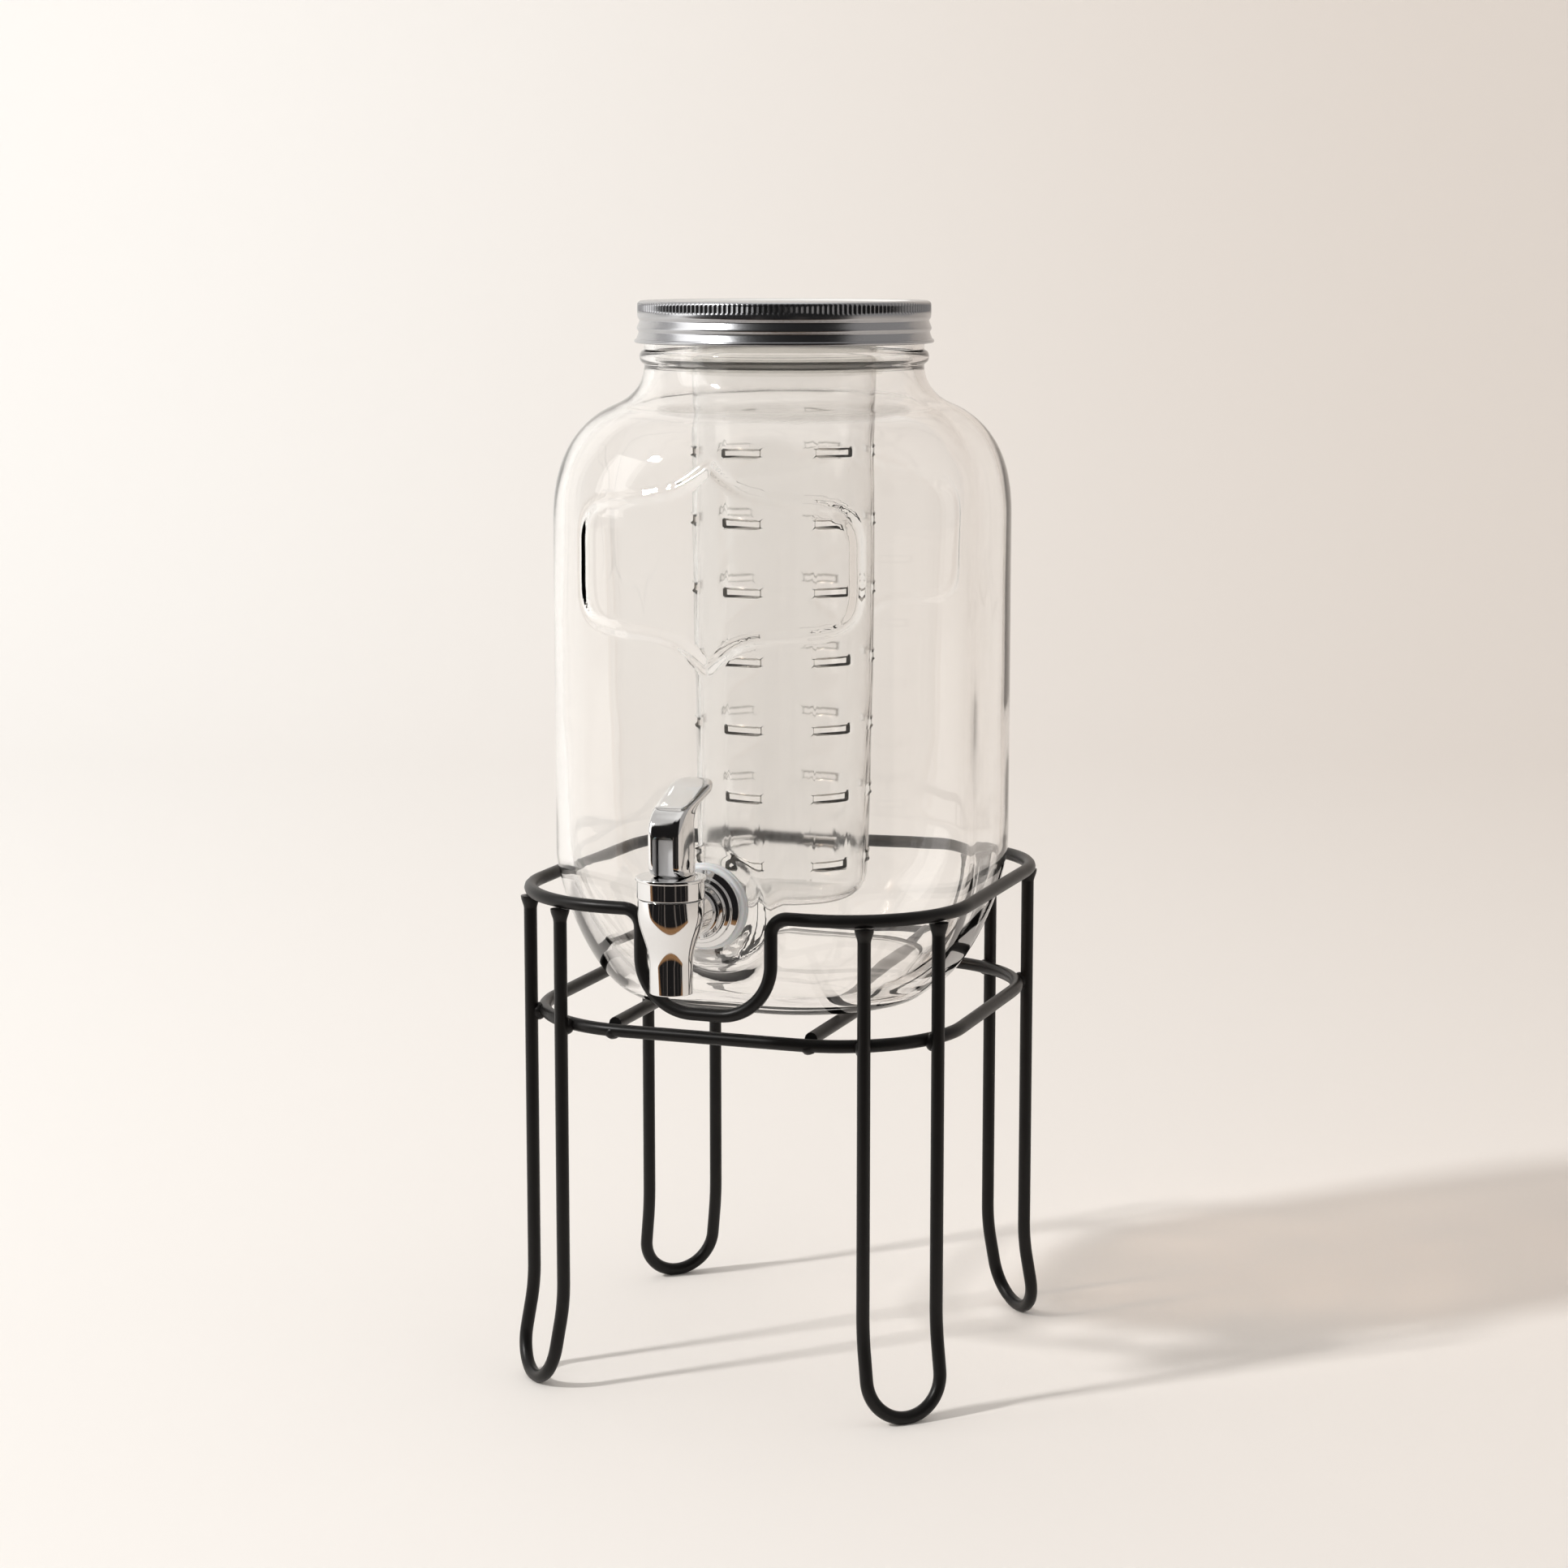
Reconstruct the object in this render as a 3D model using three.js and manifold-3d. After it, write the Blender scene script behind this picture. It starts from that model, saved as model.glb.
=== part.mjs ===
// A glass beverage dispenser on a wire stand: a screw-capped jar with a fruit infuser and a lever tap.
// Millimetres, Z up, and the tap faces -Y. Every piece is one closed solid in its own named mesh.
// Each group is built about its own natural point, then placed by the sizes of what carries it.

import * as THREE from "three";
import { mergeVertices } from "three/addons/utils/BufferGeometryUtils.js";
import Module from "manifold-3d";

const wasm = await Module();
wasm.setup();

// Sizes of the wire stand. Heights and radii are those of the wire's centre line.
const WIRE_DIAMETER = 5;
const WELD_GAP = 0.3;
const RING_JAR_CLEARANCE = 1;
const TOP_RING_CORNER = 47;
const LOWER_RING_HEIGHT = 140.6;
const LOWER_RING_CORNER = 48;
const LEG_SPREAD = 30.2;
const KICK_HEIGHT = 34;
const FOOT_KICK = 6;
const FOOT_LAND_DEPTH = 0.3;
const WELD_BEAD_DIAMETER = 7.2;
const WELD_BEAD_HEIGHT = 4;
const BAR_OFFSET = 38.4;
const BAR_RISE = 1.8;
const DIP_HALF_WIDTH = 25.3;
const DIP_DEPTH = 37.5;
const DIP_BELOW_SHANK = 40;
const DIP_MOUTH_RADIUS = 6.5;
const DIP_FLOOR_RADIUS = 20;

// Sizes of the jar. Heights run up from its base, radii out from its axis.
const JAR_SEAT_GAP = 0.3;
const BASE_HALF_WIDTH = 56;
const HEEL_HEIGHT = 54.8;
const BODY_HALF_WIDTH = 82;
const BODY_CORNER_RADIUS = 64.5;
const BODY_HEIGHT = 124;
const SHOULDER_HEIGHT = 59;
const NECK_FILLET_RADIUS = 16;
const NECK_RADIUS = 52.8;
const NECK_HEIGHT = 21.9;
const NECK_WALL = 3.8;
const GLASS_WALL = 4;
const BASE_THICKNESS = 6;
const RIM_ROUNDING = 1.2;
const BEAD_CAP_CLEARANCE = 2.7;
const BEAD_PROUD = 1.85;
const BEAD_HALF_HEIGHT = 2.4;
const THREAD_PITCH = 6;
const THREAD_PROUD = 0.9;
const THREAD_WIRE_RADIUS = 1.6;
const THREAD_START_DROP = 3.2;
const PAD_RADIUS = 18.5;
const PAD_PROUD = 0.5;
const PAD_THICKNESS = 4.3;
const SHANK_HEIGHT = 44.8;

// Sizes of the screw cap. Drops are measured down from its top.
const CAP_SHEET = 0.5;
const CAP_NECK_CLEARANCE = 1.7;
const CAP_EDGE_PROUD = 0.2;
const CAP_EDGE_ROUNDING = 1.6;
const CAP_KNURL_DROP = 4;
const CAP_UPPER_BEAD_DROP = 8;
const CAP_UPPER_BEAD_PROUD = 0.5;
const CAP_GROOVE_DROP = 10.4;
const CAP_GROOVE_DEPTH = 0.3;
const CAP_LOWER_BEAD_DROP = 12.6;
const CAP_LOWER_BEAD_PROUD = 0.7;
const CAP_BEAD_HALF_HEIGHT = 1.5;
const CAP_HEM_PROUD = 1.5;
const CAP_HEM_THICKNESS = 1.5;
const CAP_HEIGHT = 15.8;
const CAP_RIM_WIDTH = 9;
const CAP_PANEL_STEP = 1.4;
const CAP_PANEL_DEPTH = 0.8;
const LINER_THICKNESS = 0.9;
const LINER_WIDTH = 4.4;
const CAP_GAP = 0.3;

// Sizes of the infuser.
const TUBE_RADIUS = 35;
const TUBE_FOOT_RADIUS = 32.6;
const TUBE_WALL = 1.6;
const TUBE_FLOOR_CLEARANCE = 27.8;
const TUBE_FOOT_ROUNDING = 9;
const TUBE_THREAD_GAP = 0.4;
const SOCKET_WALL = 2.1;
const SOCKET_PLATE = 2;
const SOCKET_DEPTH = 24;
const SLOT_ROWS = 7;
const SLOT_COLUMNS = 6;
const SLOT_PITCH = 25.8;
const SLOT_WIDTH = 18.5;
const SLOT_HEIGHT = 5.2;
const LOWEST_SLOT_RISE = 17.2;
const SLOT_TURN_DEGREES = 52.5;

// Sizes of the tap. Its centre is where the shank's axis meets the barrel's axis.
const TAP_STANDOFF = 36.5;
const GASKET_RADIUS = 16;
const GASKET_THICKNESS = 4.4;
const FLANGE_RADIUS = 14.5;
const FLANGE_RIM = 1.4;
const FLANGE_STEP_RADIUS = 12.2;
const FLANGE_STEP_LENGTH = 4.2;
const COLLAR_RADIUS = 10.4;
const COLLAR_LENGTH = 6.6;
const NECK_TUBE_RADIUS = 8.6;
const SHANK_RADIUS = 7.5;
const SHANK_HOLE_CLEARANCE = 0.5;
const SHANK_BORE_RADIUS = 4.2;
const SHANK_TAIL = 1.5;
const INNER_WASHER_RADIUS = 12.6;
const INNER_WASHER_THICKNESS = 2;
const NUT_ACROSS_FLATS = 22;
const NUT_THICKNESS = 5;
const BARREL_RADIUS = 11.8;
const BARREL_TOP_RISE = 9.2;
const BARREL_TAPER_TOP = 4;
const BARREL_TAPER_FOOT = -14.5;
const NOZZLE_RADIUS = 7.7;
const NOZZLE_BORE_RADIUS = 6.3;
const NOZZLE_DROP = 25;
const NOZZLE_BORE_HEIGHT = 14;
const CHAMBER_RADIUS = 8.6;
const SEAT_DROP = 5;
const SEAT_BORE_RADIUS = 4.6;
const BONNET_RADIUS = 12.1;
const BONNET_RIM_RADIUS = 12.6;
const BONNET_RIM_THICKNESS = 1.3;
const BONNET_HEIGHT = 7.5;
const BONNET_TOP_THICKNESS = 2.1;
const BONNET_PLUG_DEPTH = 4.2;
const STEM_RADIUS = 3;
const STEM_COLLAR_RADIUS = 5.4;
const STEM_COLLAR_THICKNESS = 1.6;
const STEM_HEAD_WIDTH = 7.1;
const STEM_HEAD_DEPTH = 7;
const STEM_HEAD_RISE = 9;
const CUP_CLEARANCE = 1.8;
const CUP_HEIGHT = 4.2;
const CUP_FLOOR = 1.6;
const PART_GAP = 0.3;
const SPRING_WIRE = 0.8;
const SPRING_TURNS = 5;
const PIN_RADIUS = 1.5;
const PIN_RECESS = 0.5;
const PIN_HOLE_CLEARANCE = 0.3;
const HEEL_REACH = 4.2;
const LIFT_PER_RADIAN = 2.9;
const LEVER_SWING = Math.PI / 3;
const LEVER_WIDTH = 13;
const LEVER_FRONT = 7.9;
const LEVER_BACK = 10;
const LEVER_ELBOW_RISE = 11.5;
const LEVER_SWING_CLEARANCE = 0.85;
const LEVER_EDGE = 0.7;
const PADDLE_WIDTH = 15;
const PADDLE_REACH = 28;
const PADDLE_RISE = 27.2;
const PADDLE_THICKNESS = 3.2;

// Counts of facets and steps.
const WIRE_SIDES = 8;
const WIRE_BEND_STEPS = 6;
const RING_CORNER_STEPS = 8;
const JAR_SIDES = 40;
const HEEL_STEPS = 7;
const SHOULDER_STEPS = 6;
const FILLET_STEPS = 3;
const CAP_SIDES = 52;
const TUBE_SIDES = 36;
const TAP_SIDES = 28;
const SMALL_SIDES = 16;
const THREAD_STEPS_PER_TURN = 20;
const THREAD_TURNS = 1.25;
const COIL_SIDES = 5;
const COIL_STEPS_PER_TURN = 8;
const CAM_STEPS = 6;
const LEVER_STEPS = 14;

// Shapes of the curves that have no length of their own.
const HEEL_POWER = 1.5;
const SHOULDER_POWER = 2.5;
const SHOULDER_SLOPE_DEGREES = 25;
const SLOPE_HALVINGS = 40;
const LEVER_TOP_SHARES = [[-0.2, 0.6], [-0.03, 0.72], [0.3, 0.82], [0.65, 0.94], [0.92, 1]];
const LEVER_UNDERSIDE_SHARES = [[0.72, 0.83], [0.46, 0.72], [0.32, 0.55], [0.33, 0.37], [0.38, 0.15]];
const FULL_TURN = 2 * Math.PI;
const QUARTER_TURN = Math.PI / 2;

// Sizes that follow from the ones above.
const WIRE_RADIUS = WIRE_DIAMETER / 2;
const CUT_OVERRUN = WIRE_DIAMETER;
const LOWER_RING_SIDE_STEP = WIRE_DIAMETER + WELD_GAP;
const SHOULDER_SLOPE = THREE.MathUtils.degToRad(SHOULDER_SLOPE_DEGREES);
const JAR_HEIGHT = HEEL_HEIGHT + BODY_HEIGHT + SHOULDER_HEIGHT + NECK_HEIGHT;
const JAR_BASE_HEIGHT = LOWER_RING_HEIGHT + BAR_RISE + WIRE_RADIUS + JAR_SEAT_GAP;
const TOP_RING_HALF = BODY_HALF_WIDTH + RING_JAR_CLEARANCE + WIRE_RADIUS;
const TOP_RING_HEIGHT = JAR_BASE_HEIGHT + SHANK_HEIGHT - DIP_BELOW_SHANK + DIP_DEPTH;
const TOP_CORNER_TO_LEG = Math.sqrt(TOP_RING_CORNER ** 2 - (LEG_SPREAD / 2) ** 2);
const LEG_REACH = (TOP_RING_HALF - TOP_RING_CORNER) * Math.SQRT2 + TOP_CORNER_TO_LEG;
const PAD_FACE = BODY_HALF_WIDTH + PAD_PROUD;
const LIP_TO_CAP_TOP = CAP_SHEET + LINER_THICKNESS + 2 * CAP_GAP;
const BEAD_DROP = CAP_HEIGHT - LIP_TO_CAP_TOP + BEAD_CAP_CLEARANCE + BEAD_HALF_HEIGHT;
const CAP_SKIRT_RADIUS = NECK_RADIUS + CAP_NECK_CLEARANCE + CAP_SHEET;
const CAP_EDGE_RADIUS = CAP_SKIRT_RADIUS + CAP_EDGE_PROUD;
const CAP_HEM_RADIUS = CAP_SKIRT_RADIUS + CAP_HEM_PROUD;
const CAP_PANEL_RADIUS = CAP_SKIRT_RADIUS - CAP_RIM_WIDTH;
const TUBE_TOP_DROP = CAP_PANEL_DEPTH + CAP_SHEET + CAP_GAP + SOCKET_PLATE + PART_GAP;
const TUBE_LENGTH = JAR_HEIGHT + LIP_TO_CAP_TOP - TUBE_TOP_DROP - BASE_THICKNESS - TUBE_FLOOR_CLEARANCE;
const CUP_RADIUS = CHAMBER_RADIUS - CUP_CLEARANCE;
const SPRING_POCKET_RADIUS = STEM_COLLAR_RADIUS + PART_GAP;
const SPRING_RADIUS = (STEM_RADIUS + SPRING_POCKET_RADIUS) / 2;
const BONNET_TOP_RISE = BARREL_TOP_RISE + PART_GAP + BONNET_HEIGHT;
const PIN_RISE = BONNET_TOP_RISE + PART_GAP + HEEL_REACH;
const PIN_LENGTH = LEVER_WIDTH - 2 * PIN_RECESS;
const LEVER_SLOT_WIDTH = STEM_HEAD_WIDTH + 2 * PART_GAP;
const LEVER_SLOT_RISE = Math.hypot(STEM_HEAD_DEPTH / 2, STEM_HEAD_RISE) + LEVER_SWING_CLEARANCE;

// A closed geometry as a solid that joins and cuts, whichever way round its faces were made.
function solid(geometry) {
  const bare = geometry.clone();
  bare.deleteAttribute("normal");
  bare.deleteAttribute("uv");
  const merged = mergeVertices(bare);
  const vertProperties = new Float32Array(merged.attributes.position.array);
  const triVerts = new Uint32Array(merged.index.array);
  const made = new wasm.Manifold(new wasm.Mesh({ numProp: 3, vertProperties, triVerts }));
  if (made.volume() > 0) return made;
  const turned = triVerts.slice().reverse();
  return new wasm.Manifold(new wasm.Mesh({ numProp: 3, vertProperties, triVerts: turned }));
}

// A solid's surface as a geometry.
function surface(made) {
  const mesh = made.getMesh();
  const geometry = new THREE.BufferGeometry();
  geometry.setAttribute("position", new THREE.BufferAttribute(mesh.vertProperties, 3));
  geometry.setIndex(new THREE.BufferAttribute(mesh.triVerts, 1));
  geometry.computeVertexNormals();
  return geometry;
}

// One named piece with its own finish.
function piece(name, made, finish) {
  const mesh = new THREE.Mesh(surface(made), new THREE.MeshStandardMaterial(finish));
  mesh.name = name;
  return mesh;
}

// A solid turned about Z from a closed profile of [radius, height] pairs.
function turned(profile, sides) {
  const points = profile.map(([radius, height]) => new THREE.Vector2(radius, height));
  const lathe = new THREE.LatheGeometry([...points, points[0].clone()], sides);
  return solid(lathe.rotateX(QUARTER_TURN));
}

// The same, turned about the Y axis, with heights running towards -Y.
function turnedForward(profile, sides) {
  const points = profile.map(([radius, length]) => new THREE.Vector2(radius, length));
  const lathe = new THREE.LatheGeometry([...points, points[0].clone()], sides);
  return solid(lathe.rotateX(Math.PI));
}

// A round bar along Z between two heights.
function roundBar(radius, low, high, sides) {
  const bar = new THREE.CylinderGeometry(radius, radius, high - low, sides);
  return solid(bar.rotateX(QUARTER_TURN).translate(0, 0, (low + high) / 2));
}

// A round bar along Y, from one distance in front of the group's centre to another.
function forwardBar(radius, near, far, sides) {
  const bar = new THREE.CylinderGeometry(radius, radius, far - near, sides);
  return solid(bar.translate(0, -(near + far) / 2, 0));
}

// A block between two corners.
function block(low, high) {
  const size = high.map((value, i) => value - low[i]);
  const middle = high.map((value, i) => (value + low[i]) / 2);
  return solid(new THREE.BoxGeometry(...size).translate(...middle));
}

// Points of an arc, both ends included, as [across, up] pairs.
function arc(across, up, radius, from, to, steps) {
  return Array.from({ length: steps + 1 }, (_, i) => {
    const angle = from + ((to - from) * i) / steps;
    return [across + radius * Math.cos(angle), up + radius * Math.sin(angle)];
  });
}

// A skin over rings of points, closed by flat ends, or joined round when the last ring meets the first.
function skin(rings, closed) {
  const count = rings[0].length;
  const position = rings.flat().flatMap((point) => [point.x, point.y, point.z]);
  const index = [];
  const spans = closed ? rings.length : rings.length - 1;
  for (let ring = 0; ring < spans; ring += 1) {
    const next = (ring + 1) % rings.length;
    for (let side = 0; side < count; side += 1) {
      const beside = (side + 1) % count;
      const [near, far] = [ring * count, next * count];
      index.push(near + side, near + beside, far + beside, near + side, far + beside, far + side);
    }
  }
  if (!closed) {
    const last = (rings.length - 1) * count;
    for (let side = 1; side < count - 1; side += 1) {
      index.push(0, side + 1, side, last, last + side, last + side + 1);
    }
  }
  const geometry = new THREE.BufferGeometry();
  geometry.setAttribute("position", new THREE.Float32BufferAttribute(position, 3));
  return geometry.setIndex(index);
}

// A round wire through places that each know their point and the direction across the wire.
function wire(places, radius, sides, closed) {
  const rings = places.map(({ point, across }, i) => {
    const before = places[i > 0 || closed ? (i + places.length - 1) % places.length : i].point;
    const after = places[i < places.length - 1 || closed ? (i + 1) % places.length : i].point;
    const along = after.clone().sub(before).normalize();
    const up = along.clone().cross(across).normalize();
    return Array.from({ length: sides }, (_, side) => {
      const angle = ((side + 1 / 2) * FULL_TURN) / sides;
      const outward = up.clone().multiplyScalar(Math.sin(angle)).addScaledVector(across, Math.cos(angle));
      return point.clone().addScaledVector(outward, radius);
    });
  });
  return solid(skin(rings, closed));
}

// The centre of a ring's corner arc, so that the ring passes each leg wire at a given side step.
function cornerCentre(cornerRadius, sideStep) {
  const away = Math.sqrt((cornerRadius + sideStep) ** 2 - (LEG_SPREAD / 2) ** 2);
  return (LEG_REACH - away) / Math.SQRT2;
}

// Places round a rounded-square ring, from the right end of its front bar to the left end.
function ringPlaces(cornerRadius, sideStep, height) {
  const centre = cornerCentre(cornerRadius, sideStep);
  const places = [];
  for (let corner = 0; corner < 4; corner += 1) {
    const start = corner * QUARTER_TURN - QUARTER_TURN;
    const middle = start + QUARTER_TURN / 2;
    const x = Math.sign(Math.cos(middle)) * centre;
    const y = Math.sign(Math.sin(middle)) * centre;
    for (const [px, py] of arc(x, y, cornerRadius, start, start + QUARTER_TURN, RING_CORNER_STEPS)) {
      const across = new THREE.Vector3(px - x, py - y, 0).normalize();
      places.push({ point: new THREE.Vector3(px, py, height), across });
    }
  }
  return places;
}

// Places along the dip in the top ring's front bar, from its left mouth down and up to its right.
function dipPlaces(front, height) {
  const across = new THREE.Vector3(0, -1, 0);
  const mouth = DIP_HALF_WIDTH + DIP_MOUTH_RADIUS;
  const floor = DIP_HALF_WIDTH - DIP_FLOOR_RADIUS;
  const floorUp = DIP_FLOOR_RADIUS - DIP_DEPTH;
  const mouthTop = arc(mouth, -DIP_MOUTH_RADIUS, DIP_MOUTH_RADIUS, QUARTER_TURN, Math.PI, WIRE_BEND_STEPS);
  const floorTurn = arc(floor, floorUp, DIP_FLOOR_RADIUS, 0, -QUARTER_TURN, WIRE_BEND_STEPS);
  const rightSide = [...mouthTop, ...floorTurn];
  const leftSide = rightSide.map(([x, z]) => [-x, z]);
  const outline = [...leftSide, ...rightSide.reverse()];
  return outline.map(([x, z]) => ({ point: new THREE.Vector3(x, -front, height + z), across }));
}

// The stand's top ring, with its dip under the tap.
function topRing() {
  const ring = ringPlaces(TOP_RING_CORNER, 0, TOP_RING_HEIGHT);
  const places = [...dipPlaces(TOP_RING_HALF, TOP_RING_HEIGHT), ...ring];
  return wire(places, WIRE_RADIUS, WIRE_SIDES, true);
}

// The plain ring lower down, which passes inside the legs.
function lowerRing() {
  const places = ringPlaces(LOWER_RING_CORNER, LOWER_RING_SIDE_STEP, LOWER_RING_HEIGHT);
  return wire(places, WIRE_RADIUS, WIRE_SIDES, true);
}

// One of the two bars that carry the jar, cut to meet the lower ring front and back.
function crossBar() {
  const centre = cornerCentre(LOWER_RING_CORNER, LOWER_RING_SIDE_STEP);
  const farEdge = BAR_OFFSET + WIRE_RADIUS;
  const ringEdge = centre + Math.sqrt(LOWER_RING_CORNER ** 2 - (farEdge - centre) ** 2);
  const reach = ringEdge - WIRE_RADIUS - WELD_GAP;
  return forwardBar(WIRE_RADIUS, -reach, reach, WIRE_SIDES);
}

// A hairpin leg in its own plane: X across the hairpin, Y out along the stand's diagonal.
function hairpinLeg() {
  const lowest = WIRE_RADIUS - FOOT_LAND_DEPTH;
  const lean = Math.atan2(FOOT_KICK, KICK_HEIGHT - lowest);
  const half = LEG_SPREAD / 2;
  const top = TOP_RING_HEIGHT - WIRE_RADIUS - WELD_GAP;
  const turnStart = (KICK_HEIGHT - lowest) / Math.cos(lean) - half;
  const out = (x, along) => {
    return new THREE.Vector3(x, along * Math.sin(lean), KICK_HEIGHT - along * Math.cos(lean));
  };
  const turn = arc(0, 0, half, Math.PI, FULL_TURN, 2 * WIRE_BEND_STEPS);
  const upright = (x) => [new THREE.Vector3(x, 0, top), new THREE.Vector3(x, 0, KICK_HEIGHT + half / 2)];
  const bend = (x) => out(x, half / 2);
  const foot = turn.map(([x, down]) => out(x, turnStart - down));
  const right = [...upright(half), bend(half)].reverse();
  const points = [...upright(-half), bend(-half), ...foot, ...right];
  const across = points.map((_, i) => {
    const along = points[Math.min(i + 1, points.length - 1)].clone().sub(points[Math.max(i - 1, 0)]);
    const sideways = new THREE.Vector3(0, Math.cos(lean), Math.sin(lean));
    return sideways.sub(along.clone().multiplyScalar(sideways.dot(along) / along.lengthSq())).normalize();
  });
  const bar = wire(points.map((point, i) => ({ point, across: across[i] })), WIRE_RADIUS, WIRE_SIDES, false);
  const beadLow = top - WELD_BEAD_HEIGHT;
  const beadProfile = [[0, beadLow], [WIRE_RADIUS, beadLow], [WELD_BEAD_DIAMETER / 2, top], [0, top]];
  const bead = turned(beadProfile, 2 * WIRE_SIDES);
  const beaded = bar.add(bead.translate([half, 0, 0])).add(bead.translate([-half, 0, 0]));
  const reach = LEG_SPREAD + FOOT_KICK;
  return beaded.subtract(block([-reach, -reach, -reach], [reach, reach, 0]));
}

// One level of the jar: a rounded square, or a circle where the corner radius is the half width.
function jarLevel(halfWidth, cornerRadius, height) {
  const centre = halfWidth - cornerRadius;
  return Array.from({ length: JAR_SIDES }, (_, i) => {
    const angle = ((i + 1 / 2) * FULL_TURN) / JAR_SIDES;
    const x = Math.sign(Math.cos(angle)) * centre + cornerRadius * Math.cos(angle);
    const y = Math.sign(Math.sin(angle)) * centre + cornerRadius * Math.sin(angle);
    return new THREE.Vector3(x, y, height);
  });
}

// The angle at which a shoulder of a given reach and rise has turned to the slope of the neck's curve.
function shoulderEnd(reach, rise) {
  const share = 2 / SHOULDER_POWER;
  let low = 0;
  let high = QUARTER_TURN;
  for (let step = 0; step < SLOPE_HALVINGS; step += 1) {
    const angle = (low + high) / 2;
    const across = reach / (1 - Math.cos(angle) ** share);
    const up = rise / Math.sin(angle) ** share;
    if ((up / across) * Math.tan(angle) ** (share - 2) > Math.tan(SHOULDER_SLOPE)) {
      low = angle;
    } else {
      high = angle;
    }
  }
  return low;
}

// The jar's outer or inner form: the wall is taken off its widths and the floor off its base.
function jarForm(wall, neckWall, floor, overrun) {
  const body = BODY_HALF_WIDTH - wall;
  const base = BASE_HALF_WIDTH - wall;
  const neck = NECK_RADIUS - neckWall;
  const fillet = NECK_FILLET_RADIUS + neckWall;
  const sweep = QUARTER_TURN - SHOULDER_SLOPE;
  const cornerShare = (BODY_CORNER_RADIUS - wall) / body;
  const levels = [];
  for (let step = 0; step <= HEEL_STEPS; step += 1) {
    const share = Math.sin((QUARTER_TURN * step) / HEEL_STEPS);
    const half = base + (body - base) * share ** (2 / HEEL_POWER);
    const drop = (HEEL_HEIGHT - floor) * Math.cos((QUARTER_TURN * step) / HEEL_STEPS) ** (2 / HEEL_POWER);
    levels.push(jarLevel(half, half * cornerShare, HEEL_HEIGHT - drop));
  }
  const shoulderStart = HEEL_HEIGHT + BODY_HEIGHT;
  const reach = body - neck - fillet * (1 - Math.cos(sweep));
  const rise = SHOULDER_HEIGHT - fillet * Math.sin(sweep);
  const end = shoulderEnd(reach, rise);
  const share = 2 / SHOULDER_POWER;
  for (let step = 0; step <= SHOULDER_STEPS; step += 1) {
    const angle = (end * step) / SHOULDER_STEPS;
    const inward = (1 - Math.cos(angle) ** share) / (1 - Math.cos(end) ** share);
    const half = body - reach * inward;
    const height = shoulderStart + rise * (Math.sin(angle) / Math.sin(end)) ** share;
    const roundness = (half - neck) / (body - neck);
    levels.push(jarLevel(half, half * (1 + (cornerShare - 1) * roundness), height));
  }
  const filletHeight = shoulderStart + SHOULDER_HEIGHT;
  const filletArc = arc(neck + fillet, filletHeight, fillet, sweep - Math.PI, -Math.PI, FILLET_STEPS);
  for (const [half, height] of filletArc.slice(1)) {
    const roundness = (half - neck) / (body - neck);
    levels.push(jarLevel(half, half * (1 + (cornerShare - 1) * roundness), height));
  }
  levels.push(jarLevel(neck, neck, JAR_HEIGHT + overrun));
  return solid(skin(levels, false));
}

// The screw thread on the neck, a round bead that fades into the glass at both ends.
function neckThread() {
  const steps = Math.round(THREAD_TURNS * THREAD_STEPS_PER_TURN);
  const sunk = NECK_RADIUS + THREAD_PROUD - THREAD_WIRE_RADIUS;
  const places = Array.from({ length: steps + 1 }, (_, i) => {
    const angle = (FULL_TURN * i) / THREAD_STEPS_PER_TURN;
    const fade = Math.min(1, i / 2, (steps - i) / 2);
    const radius = sunk - THREAD_PROUD * (1 - fade);
    const drop = THREAD_START_DROP + (THREAD_PITCH * i) / THREAD_STEPS_PER_TURN;
    const across = new THREE.Vector3(Math.cos(angle), Math.sin(angle), 0);
    const point = across.clone().multiplyScalar(radius).setZ(JAR_HEIGHT - drop);
    return { point, across };
  });
  return wire(places, THREAD_WIRE_RADIUS, COIL_SIDES, false);
}

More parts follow.
